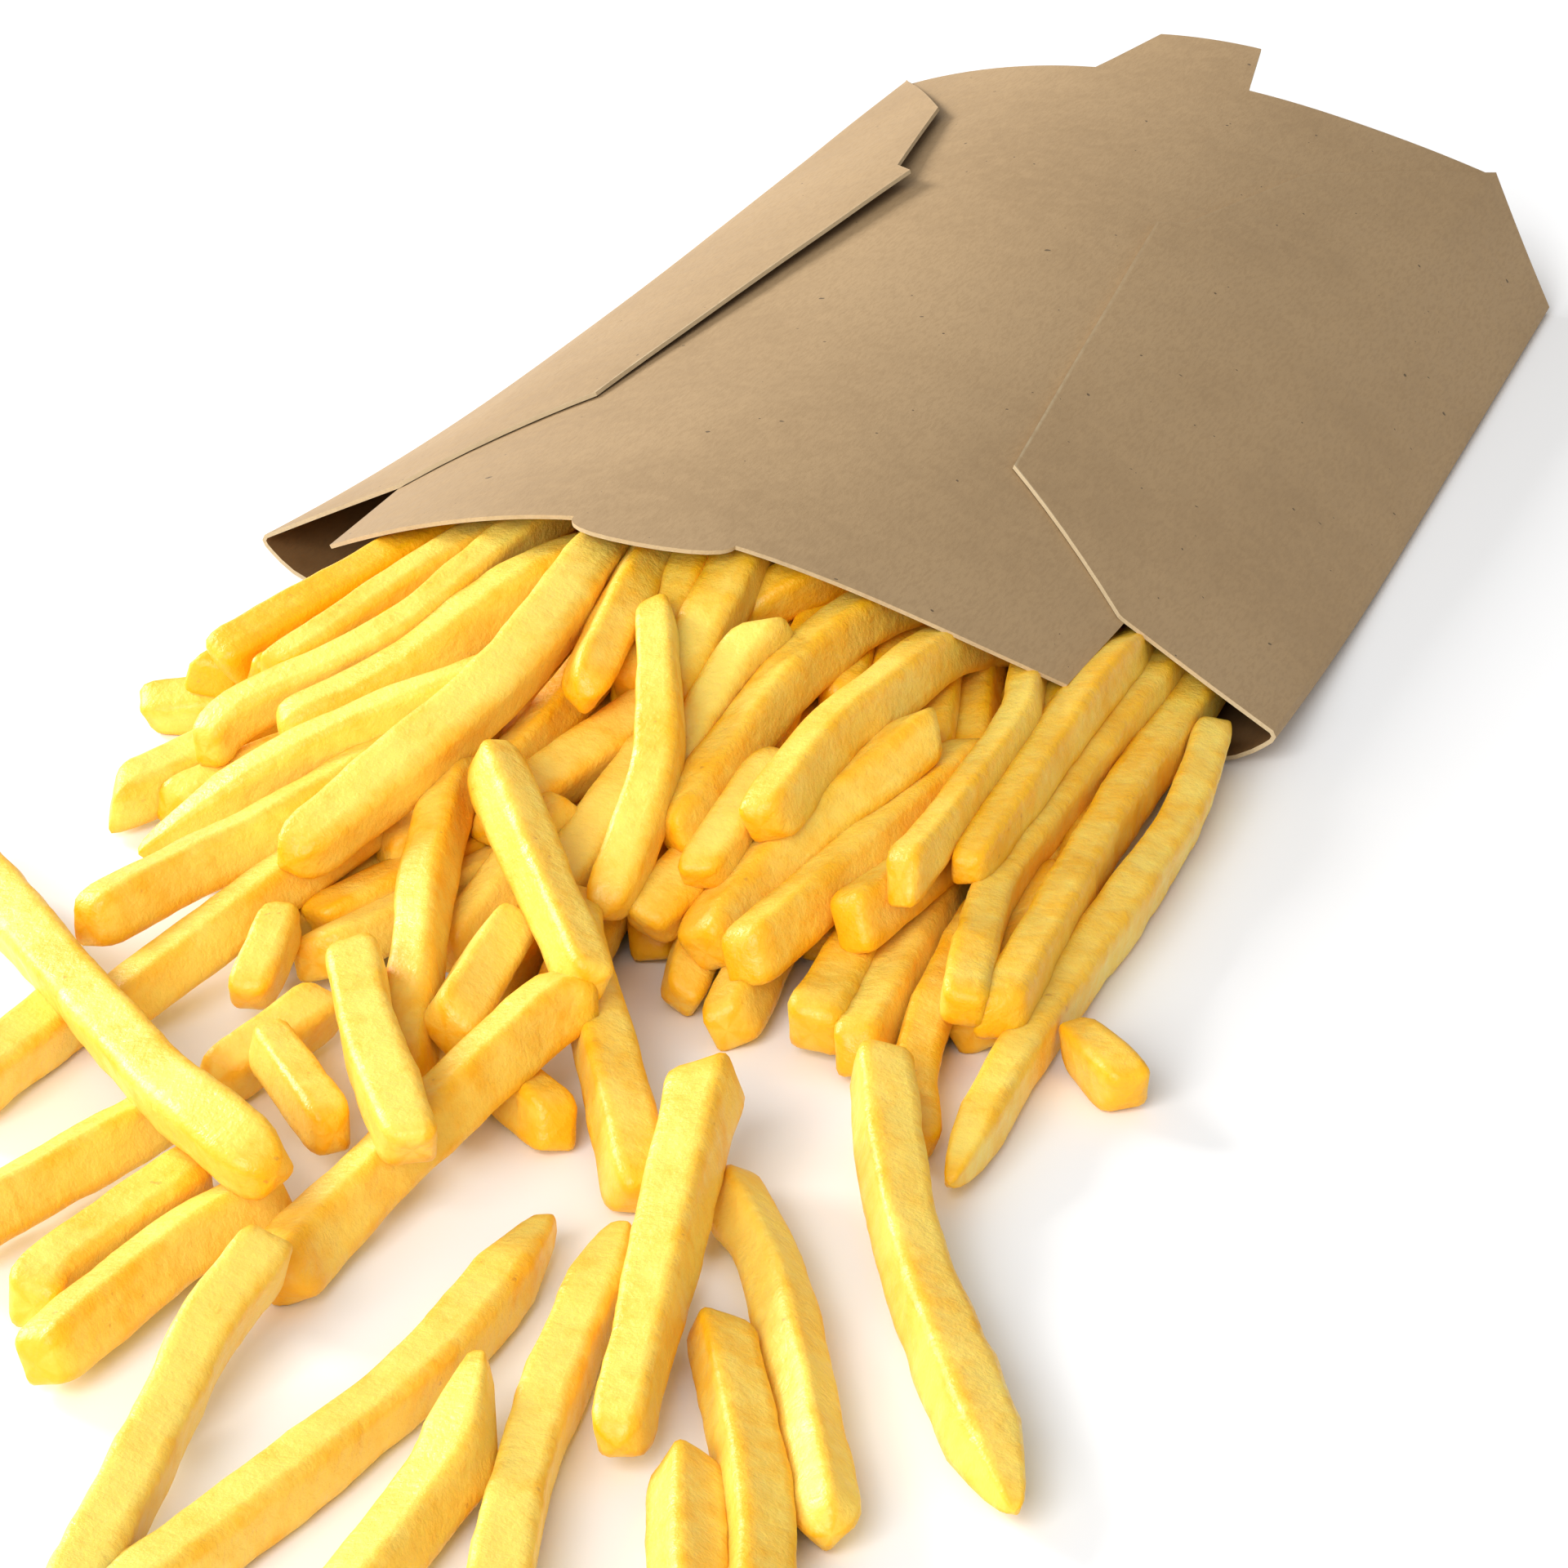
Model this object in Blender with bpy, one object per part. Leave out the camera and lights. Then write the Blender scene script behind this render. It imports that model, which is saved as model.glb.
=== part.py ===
"""French fries in a kraft board carton that lies on its back panel, with the fries spilled out of its mouth.

The origin is on the table, under the middle of the carton's mouth. +Y runs into the carton, to its closed
end, +X is to the right of someone who looks into it from the closed end's side, and +Z is up.
"""

import math
from collections import namedtuple

import bmesh
import bpy
from mathutils import Vector

MM = 0.001

# Carton: one folded and glued blank.
BOARD = 0.5 * MM
SLANT = 1.6  # how much thicker a side panel is when measured upright
STATIONS = 10  # rows of faces along the carton
MOUTH_HALF_WIDTH = 65 * MM  # side fold, at the mouth
FOOT_HALF_WIDTH = 53.5 * MM  # side fold, at the closed end
SCORE_MOUTH = 46.5 * MM  # half distance between the two scores that bound the front panel
SCORE_FOOT = 43 * MM
SIDE_LENGTH = 150 * MM  # from the mouth to the closed end's corners
CROWN_MOUTH = 29.7 * MM  # height of the front panel's crown
CROWN_FOOT = 25.2 * MM
ARCH_MOUTH = 6.9  # the panel drops by this times the square of the distance from its crown, in 1/m
ARCH_FOOT = 6.35
FOLD_HEIGHT_MOUTH = 4 * MM  # side fold above the table
FOLD_HEIGHT_FOOT = 0.7 * MM
FOLD_DROP_LENGTH = 60 * MM  # the side fold comes down to the table within this distance from the mouth
FOLD_LIFT_WIDTH = 8 * MM  # the back panel leaves the table this far from its side fold
BACK_BOW = 8 * MM  # the back panel's mouth edge bows out by this in its middle
FOOT_ARC = 11 * MM  # depth of the curved fold between front panel and closed end
FOOT_LEAN = 11 * MM  # the closed end leans back by this much from its upper to its lower fold
LIP = 27.3 * MM  # the front panel reaches this far out past the wings
LIP_SETBACK = 9.5 * MM  # its corners are this much shorter than its middle
TONGUE_HALF_WIDTH = 10 * MM  # shallow tongue in the middle of the lip
TONGUE = 5 * MM
TAB_BASE_HALF_WIDTH = 11 * MM  # lock tab that stands out from the closed end
TAB_TIP_HALF_WIDTH = 7.3 * MM
TAB_LENGTH = 16 * MM

# Wing: the flap that laps over the front panel from each side, as (half width, distance from the mouth).
WING_EDGE = (
    (46 * MM, 0 * MM),
    (27 * MM, 14.5 * MM),
    (17 * MM, 89 * MM),
    (20 * MM, 91.5 * MM),
    (26 * MM, 120 * MM),
    (41 * MM, 146 * MM),
)

# Fries
GAP = 0.4 * MM
BACK_EDGE = -BACK_BOW - 1 * MM  # fries further out lie on the table, and others on the back panel
CORE_DEPTH = 112 * MM  # how far the packed fries reach into the carton
CORE_FRONT = 74 * MM  # how far the heap's middle reaches out of it
CORE_SIDE_GAP = 11 * MM  # the sharp side folds stay empty
MOUND_HALF_WIDTH = 44 * MM
MOUND_HEIGHT = 20 * MM
FRY_RINGS = 6
CLING = 1.4 * MM  # each fry is this much thicker in the joined outline, so that neighbours touch

# One fry: the points that its middle line passes, in millimetres, then its thickness.
Fry = namedtuple("Fry", "points size")

LEFT_BUNCH = (
    Fry(((-36, -21, 17), (-47, -45, 12.5)), 6.7),
    Fry(((-37, -14, 10), (-41, -26, 9), (-48, -43, 5)), 5.8),
    Fry(((-34, -33, 5), (-58, -43, 3.3)), 5.3),
    Fry(((-33, -34, 9), (-39, -47, 6), (-48, -67, 3.5)), 6.2),
    Fry(((-27, -24, 20), (-35, -41, 15), (-39, -47, 12)), 4.9),
    Fry(((-19, -20, 23), (-25, -41, 19), (-38, -55, 12), (-40, -61, 9)), 5.3),
    Fry(((-11, -22, 24), (-17, -36, 21), (-22, -47, 17), (-32, -58, 13)), 6.2),
    Fry(((-9, -48, 17), (-24, -62, 13), (-39, -79, 6)), 5.3),
    Fry(((-14, -42, 16), (-21, -68, 12), (-28, -84, 9.5), (-33, -100, 8)), 6.9),
    Fry(((-6, -22, 24.5), (-5, -42, 23), (-7, -57, 19.5), (-17, -85, 11)), 6.2),
    Fry(((-2, -52, 12), (-11, -73, 6.5)), 5.3),
    Fry(((2, -57, 10), (-15, -84, 5)), 5.8),
    Fry(((4, -62, 10), (-12, -90, 4)), 5.8),
    Fry(((-11, -68, 7), (-28, -108, 3.5)), 5.8),
    Fry(((-15, -89, 9), (-13, -102, 5)), 6.2),
    Fry(((-8, -50, 16), (-1, -80, 11), (4, -95, 9), (9, -110, 4)), 6.2),
    Fry(((-2, -65, 20), (12, -83, 14), (23, -98, 11)), 6.1),
)
MIDDLE = (
    Fry(((-2, -24, 25), (4, -53, 21)), 6.2),
    Fry(((3, -21, 25), (5, -33, 22), (6, -44, 18)), 5.8),
    Fry(((9, -21, 25), (11, -37, 21), (12, -46, 17)), 5.8),
    Fry(((11, -20, 20), (14, -45, 15), (15, -54, 12)), 5.8),
    Fry(((5, -36, 25), (12, -52, 22), (16, -63, 18), (17, -78, 9)), 5.3),
    Fry(((0, -34, 19), (-6, -64, 11)), 5.3),
    Fry(((10, -36, 18), (1, -58, 12), (-2, -68, 9)), 6.2),
    Fry(((10, -48, 16), (9, -78, 8)), 5.8),
    Fry(((17, -34, 24), (15, -42, 20), (14, -62, 12)), 6.2),
    Fry(((17, -16, 23), (10, -28, 18), (6, -36, 15)), 6.2),
    Fry(((24, -19, 22), (22, -32, 21), (21, -46, 18), (20, -66, 12)), 6.1),
    Fry(((34, -20, 19.5), (31, -35, 19), (28, -47, 17), (26, -64, 12.5)), 6.1),
    Fry(((26, -50, 17), (24, -70, 9)), 5.3),
    Fry(((26, -50, 13), (21, -75, 6)), 6.2),
    Fry(((20, -44, 12), (27, -80, 4)), 5.8),
)
RIGHT_FAN = (
    Fry(((38, -40, 17.5), (32, -56, 13), (28, -68, 8), (28, -76, 4)), 6.7),
    Fry(((46, -34, 14), (32, -78, 3.6)), 6.7),
    Fry(((47, -36, 11), (39, -69, 4)), 6.7),
    Fry(((45, -44, 7), (44, -72, 4), (44, -86, 3.5)), 6.2),
    Fry(((40, -18, 17), (43, -30, 16), (47, -64, 8)), 5.3),
    Fry(((46, 1, 13), (46, -15, 13), (49, -56, 7)), 5.3),
    Fry(((43, -14, 14), (44, -32, 9)), 5.3),
    Fry(((49, -5, 9), (51, -45, 7), (54, -60, 6), (60, -79, 4)), 5.8),
    Fry(((52, 6, 7), (55, -27, 5), (62, -78, 3.5)), 5.8),
    Fry(((57, -2, 5), (62, -26, 4), (66, -76, 3.5), (70, -104, 3.5)), 6.2),
    Fry(((70, -75, 3.3), (78, -78, 3.3)), 5.8),
    Fry(((47, -50, 4), (54, -80, 3.3), (62, -97, 3.3)), 5.3),
)
SPILLED = (
    Fry(((41, -104, 9.5), (58, -162, 5)), 6.2),
    Fry(((12, -74, 8), (16, -82, 8), (40, -118, 3.3)), 5.6),
    Fry(((41, -124, 3.3), (50, -164, 3.3), (61, -197, 3.3)), 5.8),
    Fry(((34, -126, 3.3), (35, -143, 3.3), (34, -161, 3.3), (26, -204, 3.3)), 5.8),
    Fry(((41, -156, 7.5), (45, -170, 5), (45, -179, 3.6), (46, -201, 3.3)), 5.8),
    Fry(((48, -114, 3.3), (60, -129, 3.3), (81, -165, 3.3)), 5.6),
    Fry(((64, -160, 3.3), (76, -185, 3.3)), 5.6),
    Fry(((57, -137, 3.3), (72, -162, 3.3), (81, -182, 3.3)), 5.6),
    Fry(((55, -91, 7), (64, -109, 5.5), (73, -124, 4), (95, -155, 3.3)), 6.1),
    Fry(((-2, -99, 13), (9, -115, 10.5), (22, -131, 8)), 6.1),
    Fry(((11, -84, 12), (11, -105, 8)), 5.8),
    Fry(((8, -62, 11), (1, -84, 5)), 5.3),
    Fry(((24, -95, 7), (21, -101, 8), (14, -136, 5), (15, -148, 4)), 6.7),
    Fry(((4, -95, 3.3), (27, -110, 3.3)), 5.8),
    Fry(((15, -150, 9), (15, -163, 7), (17, -174, 5), (25, -210, 3.3)), 5.8),
    Fry(((8, -134, 4.5), (3.5, -147, 4.5), (1, -171, 4.5)), 6.1),
    Fry(((-1, -134, 5), (-6, -154, 3.5), (-5, -161, 3.5)), 5.8),
    Fry(((-9, -122, 5), (-19, -156, 4.5)), 6.1),
    Fry(((-59, -85, 5), (-13, -125, 10), (1, -136, 12), (12, -142, 12)), 6.2),
    Fry(((-30, -105, 4), (-32, -131, 4)), 5.8),
    Fry(((-5, -99, 5), (-9, -116, 4)), 5.8),
    Fry(((-6, -112, 7), (10, -126, 8)), 5.6),
)


def clear_scene():
    for obj in list(bpy.data.objects):
        bpy.data.objects.remove(obj, do_unlink=True)


def new_collection(name):
    collection = bpy.data.collections.new(name)
    bpy.context.scene.collection.children.link(collection)
    return collection


def plain_material(name, colour, roughness):
    material = bpy.data.materials.new(name)
    material.use_nodes = True
    shader = material.node_tree.nodes["Principled BSDF"]
    shader.inputs["Base Color"].default_value = (*colour, 1)
    shader.inputs["Roughness"].default_value = roughness
    shader.inputs["Metallic"].default_value = 0
    material.diffuse_color = (*colour, 1)
    return material


def mesh_object(name, bm, collection, material=None):
    """The object of a bmesh, with its doubles merged and its faces turned outwards."""
    bmesh.ops.remove_doubles(bm, verts=bm.verts, dist=0.00001)
    bmesh.ops.recalc_face_normals(bm, faces=bm.faces)
    mesh = bpy.data.meshes.new(name)
    bm.to_mesh(mesh)
    bm.free()
    if material:
        mesh.materials.append(material)
    obj = bpy.data.objects.new(name, mesh)
    collection.objects.link(obj)
    return obj


def as_operand(obj):
    obj.hide_render = True
    obj.display_type = "WIRE"
    return obj


def mix(a, b, t):
    return a + (b - a) * t


def along_carton(mouth_value, foot_value, y):
    """A size of the carton at y, for one that changes evenly from its mouth to its closed end."""
    return mix(mouth_value, foot_value, y / SIDE_LENGTH)


def score_x(y):
    return along_carton(SCORE_MOUTH, SCORE_FOOT, max(y, 0))


def fold_x(y):
    return along_carton(MOUTH_HALF_WIDTH, FOOT_HALF_WIDTH, max(y, 0))


def fold_z(y):
    """Height of the side fold: lifted at the open mouth, and down on the table further back."""
    lift = max(0, 1 - max(y, 0) / FOLD_DROP_LENGTH)
    return mix(FOLD_HEIGHT_FOOT, FOLD_HEIGHT_MOUTH, lift * lift)


def arch_z(x, y):
    """Outer height of the carton's arched upper side, which falls straight from its scores to its side folds."""
    score, fold = score_x(y), fold_x(y)
    crown = along_carton(CROWN_MOUTH, CROWN_FOOT, y)
    drop = along_carton(ARCH_MOUTH, ARCH_FOOT, y)
    if abs(x) <= score:
        return crown - drop * x * x
    at_score = crown - drop * score * score
    return mix(at_score, fold_z(y) + BOARD, (abs(x) - score) / (fold - score))


def back_z(x, y):
    """Outer height of the back panel: flat on the table, and lifted towards its side folds."""
    fold = fold_x(y)
    rise = max(0, (abs(x) - fold + FOLD_LIFT_WIDTH) / FOLD_LIFT_WIDTH)
    return (fold_z(y) - BOARD) * rise * rise


def lip_y(x):
    """Mouth edge of the front panel at x: a shallow arc with a tongue in its middle."""
    inside = max(0, 1 - (x / TONGUE_HALF_WIDTH) ** 2)
    return LIP_SETBACK * abs(x / SCORE_MOUTH) ** 3 - LIP - TONGUE * math.sqrt(inside)


def foot_y(x):
    """Fold between the front panel and the closed end: an arc that is set back in the middle."""
    share = min(1, abs(x) / SCORE_FOOT)
    return SIDE_LENGTH - FOOT_ARC * (1 - share * share)


def loft(rows):
    """A bmesh of quads between rings of as many points each, with a face at each end."""
    bm = bmesh.new()
    rings = [[bm.verts.new(point) for point in row] for row in rows]
    bridge(bm, rings)
    bm.faces.new(rings[0])
    bm.faces.new(rings[-1])
    return bm


def bridge(bm, rings):
    count = len(rings[0])
    for ring, following in zip(rings, rings[1:]):
        for i in range(count):
            j = (i + 1) % count
            bm.faces.new((ring[i], ring[j], following[j], following[i]))


def places_across():
    """Places across the carton from left to right, as (share, outside the scores).

    Between the scores the share is of the score's distance, and outside it runs from the score to the fold.
    """
    side = (0.04, 0.45, 0.75, 1)
    front = [i / 7 for i in range(-7, 8)]
    left = [(-share, True) for share in reversed(side)]
    return left + [(share, False) for share in front] + [(share, True) for share in side]


def upper_point(share, outside, t, depth):
    """A point of the upper side: t runs from the mouth to the closed end, and depth is under the outer face."""
    if not outside:
        y = mix(lip_y(share * SCORE_MOUTH), foot_y(share * SCORE_FOOT) - depth, t)
        x = share * score_x(y)
        return Vector((x, y, arch_z(x, y) - depth))
    y = mix(0, SIDE_LENGTH - FOOT_LEAN * abs(share) - depth, t)
    x = math.copysign(mix(score_x(y), fold_x(y) - 2 * depth, abs(share)), share)
    # The side panel and the wing are the blank's outer layer, one board above the front panel.
    return Vector((x, y, arch_z(x, y) + BOARD - SLANT * depth))


def lower_point(share, outside, t, depth):
    """The point of the back panel that lies under such a place."""
    if outside:
        foot = mix(SCORE_FOOT, FOOT_HALF_WIDTH, abs(share)) / FOOT_HALF_WIDTH
    else:
        foot = abs(share) * SCORE_FOOT / FOOT_HALF_WIDTH
    middle = 1 - foot * foot
    y = mix(-BACK_BOW * middle, SIDE_LENGTH - FOOT_LEAN - FOOT_ARC * middle - depth, t)
    if outside:
        x = math.copysign(mix(score_x(y), fold_x(y) - 2 * depth, abs(share)), share)
    else:
        x = share * score_x(y)
    return Vector((x, y, back_z(x, y) + depth))


def carton_body(collection, material):
    """Back panel, side panels, front panel and closed end, as a wall of one board's thickness."""
    places = places_across()
    bm = bmesh.new()
    mouths = []
    for depth in (0, BOARD):
        rings = []
        for station in range(STATIONS + 1):
            t = station / STATIONS
            upper = [upper_point(*place, t, depth) for place in places]
            lower = [lower_point(*place, t, depth) for place in reversed(places)]
            rings.append([bm.verts.new(point) for point in upper + lower])
        bridge(bm, rings)
        # The closed end is one row of faces from the upper fold to the lower fold.
        last = rings[-1]
        for i in range(len(places) - 1):
            bm.faces.new((last[i], last[i + 1], last[-i - 2], last[-i - 1]))
        mouths.append(rings[0])
    bridge(bm, mouths)
    return mesh_object("carton", bm, collection, material)


def slab(name, rows, thickness, collection):
    """A thin closed sheet: rows of points on its upper face, and the same rows a thickness below."""
    bm = bmesh.new()
    upper = [[bm.verts.new(point) for point in row] for row in rows]
    under = [[bm.verts.new(point - Vector((0, 0, thickness))) for point in row] for row in rows]
    across = len(rows[0])
    for layer in (upper, under):
        for row, following in zip(layer, layer[1:]):
            for i in range(across - 1):
                bm.faces.new((row[i], row[i + 1], following[i + 1], following[i]))
    border = [(j, 0) for j in range(len(rows))]
    border += [(len(rows) - 1, i) for i in range(1, across)]
    border += [(j, across - 1) for j in range(len(rows) - 2, -1, -1)]
    border += [(0, i) for i in range(across - 2, 0, -1)]
    for (j, i), (l, k) in zip(border, border[1:] + border[:1]):
        bm.faces.new((upper[j][i], upper[l][k], under[l][k], under[j][i]))
    return as_operand(mesh_object(name, bm, collection))


def wing(side, collection):
    """One flap that laps over the front panel, from its free edge to the score."""
    rows = []
    for (x0, y0), (x1, y1) in zip(WING_EDGE, WING_EDGE[1:]):
        steps = max(1, round((y1 - y0) / (15 * MM)))
        rows += [(mix(x0, x1, j / steps), mix(y0, y1, j / steps)) for j in range(steps)]
    rows.append(WING_EDGE[-1])
    points = []
    for edge, y in rows:
        outer = score_x(y) + 0.5 * MM
        xs = [side * mix(edge, outer, i / 4) for i in range(5)]
        points.append([Vector((x, y + 0.4 * MM, arch_z(x, y) + 0.9 * BOARD)) for x in xs])
    return slab(f"wing_{'right' if side > 0 else 'left'}", points, 1.4 * BOARD, collection)


def lock_tab(collection):
    """Trapezoid tab, cut from the closed end and left in the front panel's plane."""
    root = foot_y(0) - 2 * MM
    points = []
    for t in (0, 0.5, 1):
        half = mix(TAB_BASE_HALF_WIDTH, TAB_TIP_HALF_WIDTH, t)
        y = mix(root, foot_y(0) + TAB_LENGTH, t)
        points.append([Vector((half * s, y, arch_z(half * s, y) - 0.2 * BOARD)) for s in (-1, 0, 1)])
    return slab("lock_tab", points, 0.9 * BOARD, collection)


def join_with(obj, others):
    for other in others:
        boolean = obj.modifiers.new(other.name, "BOOLEAN")
        boolean.operation = "UNION"
        boolean.object = other


def core_section(y):
    """Half width, lower and upper height of the packed middle of the fries at y."""
    under = BOARD + GAP if y > BACK_EDGE else 0
    if y >= 0:
        return fold_x(y) - CORE_SIDE_GAP, under
    return MOUND_HALF_WIDTH * (1 - 0.55 * -y / CORE_FRONT), under


def core_top(x, y):
    roof = arch_z(x, max(y, -LIP)) - BOARD - 2 * GAP
    if y >= 0:
        return roof - 0.4 * MM
    return min(roof - 1.5 * MM, mix(MOUND_HEIGHT, 6 * MM, -y / CORE_FRONT))


def heap_core(collection, material):
    """The packed fries inside the carton and the low mound in front of its mouth."""
    inside = (CORE_DEPTH, 80 * MM, 40 * MM, 12 * MM, 0, -0.5 * MM, BACK_EDGE + 0.1 * MM)
    stations = (*inside, BACK_EDGE, -25 * MM, -50 * MM, -CORE_FRONT)
    rows = []
    for y in stations:
        half, under = core_section(y)
        xs = [half * i / 6 for i in range(-6, 7)]
        upper = [Vector((x, y, max(core_top(x, y), under + 3 * MM))) for x in xs]
        lower = [Vector((x, y, under)) for x in reversed(xs)]
        rows.append(upper + lower)
    return mesh_object("fries", loft(rows), collection, material)


def place_along(points, share):
    """The place at a share of the way along a smooth line through the points."""
    at = share * (len(points) - 1)
    first = min(int(at), len(points) - 2)
    t = at - first
    b, c = points[first], points[first + 1]
    a = points[first - 1] if first else 2 * b - c
    d = points[first + 2] if first + 2 < len(points) else 2 * c - b
    return (2 * b + (c - a) * t + (2 * a - 5 * b + 4 * c - d) * t**2 + (3 * b - a - 3 * c + d) * t**3) / 2


def room_for(middle, half):
    """The lowest and highest a fry's middle can be between the back panel or the table and the front panel."""
    lowest = half + (BOARD + GAP if middle.y > BACK_EDGE - half else 0)
    across = abs(middle.x)
    if across > SCORE_MOUTH + half and middle.y < -2 * half or middle.y < lip_y(min(across, SCORE_MOUTH)) - 3 * half:
        return lowest, CROWN_MOUTH
    roof = arch_z(across + 1.2 * half, max(middle.y, 0)) - SLANT * BOARD - GAP
    return lowest, max(lowest, roof - 1.1 * half)


def stick(name, fry, collection):
    """One fry as a curved bar with a square section, cut square at both ends."""
    points = [Vector(point) * MM for point in fry.points]
    forward = (points[-1] - points[0]).normalized()
    sideways = forward.cross(Vector((0, 0, 1))).normalized()
    upwards = sideways.cross(forward)
    half = (fry.size * MM + CLING) / 2
    rows = []
    for j in range(FRY_RINGS):
        middle = place_along(points, j / (FRY_RINGS - 1))
        lowest, highest = room_for(middle, half)
        middle.z = min(max(middle.z, lowest + half * abs(forward.z)), highest)
        corners = ((-1, -1), (1, -1), (1, 1), (-1, 1))
        rows.append([middle + (sideways * a + upwards * b) * half for a, b in corners])
    return as_operand(mesh_object(name, loft(rows), collection))


def build_carton(parts, tools):
    board = plain_material("kraft_board", (0.42, 0.29, 0.17), 0.8)
    carton = carton_body(parts, board)
    join_with(carton, [wing(-1, tools), wing(1, tools), lock_tab(tools)])


def build_fries(parts, sticks):
    potato = plain_material("fried_potato", (0.88, 0.58, 0.14), 0.5)
    heap = heap_core(parts, potato)
    for number, fry in enumerate(LEFT_BUNCH + MIDDLE + RIGHT_FAN + SPILLED):
        stick(f"fry_{number:02d}", fry, sticks)
    union = heap.modifiers.new("fries", "BOOLEAN")
    union.operation = "UNION"
    union.operand_type = "COLLECTION"
    union.collection = sticks
    union.solver = "EXACT"


def main():
    clear_scene()
    parts = new_collection("fries_in_carton")
    tools = new_collection("carton_tools")
    sticks = new_collection("fry_sticks")
    for collection in (tools, sticks):
        collection.hide_render = True
    build_carton(parts, tools)
    build_fries(parts, sticks)


main()
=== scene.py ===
"""French fries in a kraft board carton: the visible surfaces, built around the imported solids.

The carton is one folded blank that lies on its back panel. The fries are swept bars of cut potato, settled
against each other, the table and the board. Lengths are in metres in the same frame as the solids: the origin
is on the table under the middle of the carton's mouth, +Y runs into the carton and +Z is up.
"""

import functools
import math
from collections import namedtuple

import bmesh
import bpy
import numpy as np
from bpy.props import FloatProperty, FloatVectorProperty, PointerProperty
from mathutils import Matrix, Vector, noise


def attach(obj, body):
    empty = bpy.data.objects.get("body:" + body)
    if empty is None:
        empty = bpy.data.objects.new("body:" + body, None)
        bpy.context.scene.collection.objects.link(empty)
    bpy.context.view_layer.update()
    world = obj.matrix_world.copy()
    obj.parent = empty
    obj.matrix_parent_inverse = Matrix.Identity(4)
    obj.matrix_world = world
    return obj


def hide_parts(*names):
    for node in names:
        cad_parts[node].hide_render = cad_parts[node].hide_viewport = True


bl_info = {
    "name": "Fries in a Kraft Carton",
    "version": (1, 0, 0),
    "blender": (4, 5, 0),
    "location": "3D View > Sidebar > Fries",
    "description": "Builds a folded kraft carton on its back with french fries spilled from its mouth",
    "category": "Add Mesh",
}

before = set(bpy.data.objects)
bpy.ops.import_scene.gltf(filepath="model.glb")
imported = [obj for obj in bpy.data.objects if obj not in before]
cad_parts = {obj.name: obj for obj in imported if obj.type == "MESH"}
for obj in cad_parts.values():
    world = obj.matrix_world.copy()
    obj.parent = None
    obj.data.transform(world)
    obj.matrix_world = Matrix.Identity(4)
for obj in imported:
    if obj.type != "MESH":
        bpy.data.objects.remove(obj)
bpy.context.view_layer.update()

MM = 0.001

# The blank's sizes, as in the solids.
BOARD = 0.5 * MM
MOUTH_HALF_WIDTH = 65 * MM  # side fold, at the mouth
FOOT_HALF_WIDTH = 53.5 * MM  # side fold, at the closed end
SCORE_MOUTH = 46.5 * MM  # half distance between the scores beside the front panel
SCORE_FOOT = 43 * MM
SIDE_LENGTH = 150 * MM
CROWN_MOUTH = 29.7 * MM
CROWN_FOOT = 25.2 * MM
ARCH_MOUTH = 6.9  # drop of the arch per squared distance from its crown, in 1/m
ARCH_FOOT = 6.35
FOLD_HEIGHT_MOUTH = 4 * MM
FOLD_HEIGHT_FOOT = 0.7 * MM
FOLD_DROP_LENGTH = 60 * MM
FOLD_LIFT_WIDTH = 8 * MM
BACK_BOW = 8 * MM
FOOT_ARC = 11 * MM
FOOT_LEAN = 11 * MM
LIP = 27.3 * MM
LIP_SETBACK = 9.5 * MM
TONGUE_HALF_WIDTH = 10 * MM
TONGUE = 5 * MM
TAB_BASE_HALF_WIDTH = 11 * MM
TAB_TIP_HALF_WIDTH = 7.3 * MM
TAB_LENGTH = 16 * MM

# What the solids leave out.
EDGE_FIBRE_HIGHLIGHT_SHARE = 0.6  # the pale line at a wing's free edge, partly pale cut fibres and partly a painted highlight, fades over this share of the carton's length
EDGE_FIBRE_HIGHLIGHT_FADE = 0.85  # how much of it is gone by then
WING_GAP = 0.12 * MM  # between the front panel and the glued wing over it
RIGHT_WING_LIFT = 0.06 * MM  # at the right wing's free edge
FOLD_ROUND = 0.35 * MM  # how far a side fold stands out
END_HOLLOW = 0.8 * MM  # how far the closed end is pressed in
TAB_STEP = 1.3 * BOARD  # the closed end starts this far under the lock tab
STATION = 2.5 * MM  # spacing of the rows of faces along the carton

# Wing: the flap that laps over the front panel from each side, as (distance from the mouth, half width).
WING_EDGE = ((0, 46), (14.5, 27), (88.5, 17), (91.5, 20), (120, 26), (146, 41), (150, 43))

# How far the left wing's free edge stands off the front panel, as (distance from the mouth, height).
LEFT_WING_LIFT = ((0, 0.1), (14.5, 0.15), (45, 0.9), (88, 1.7), (120, 1.2), (150, 0.2))

# One fry: the points that its middle line passes and its thickness, in millimetres, how golden it is from
# 0 to 1, and how its two ends are cut: b blunt, r rounded, s slanted or p pointed.
Fry = namedtuple("Fry", "points size tone ends")

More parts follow.
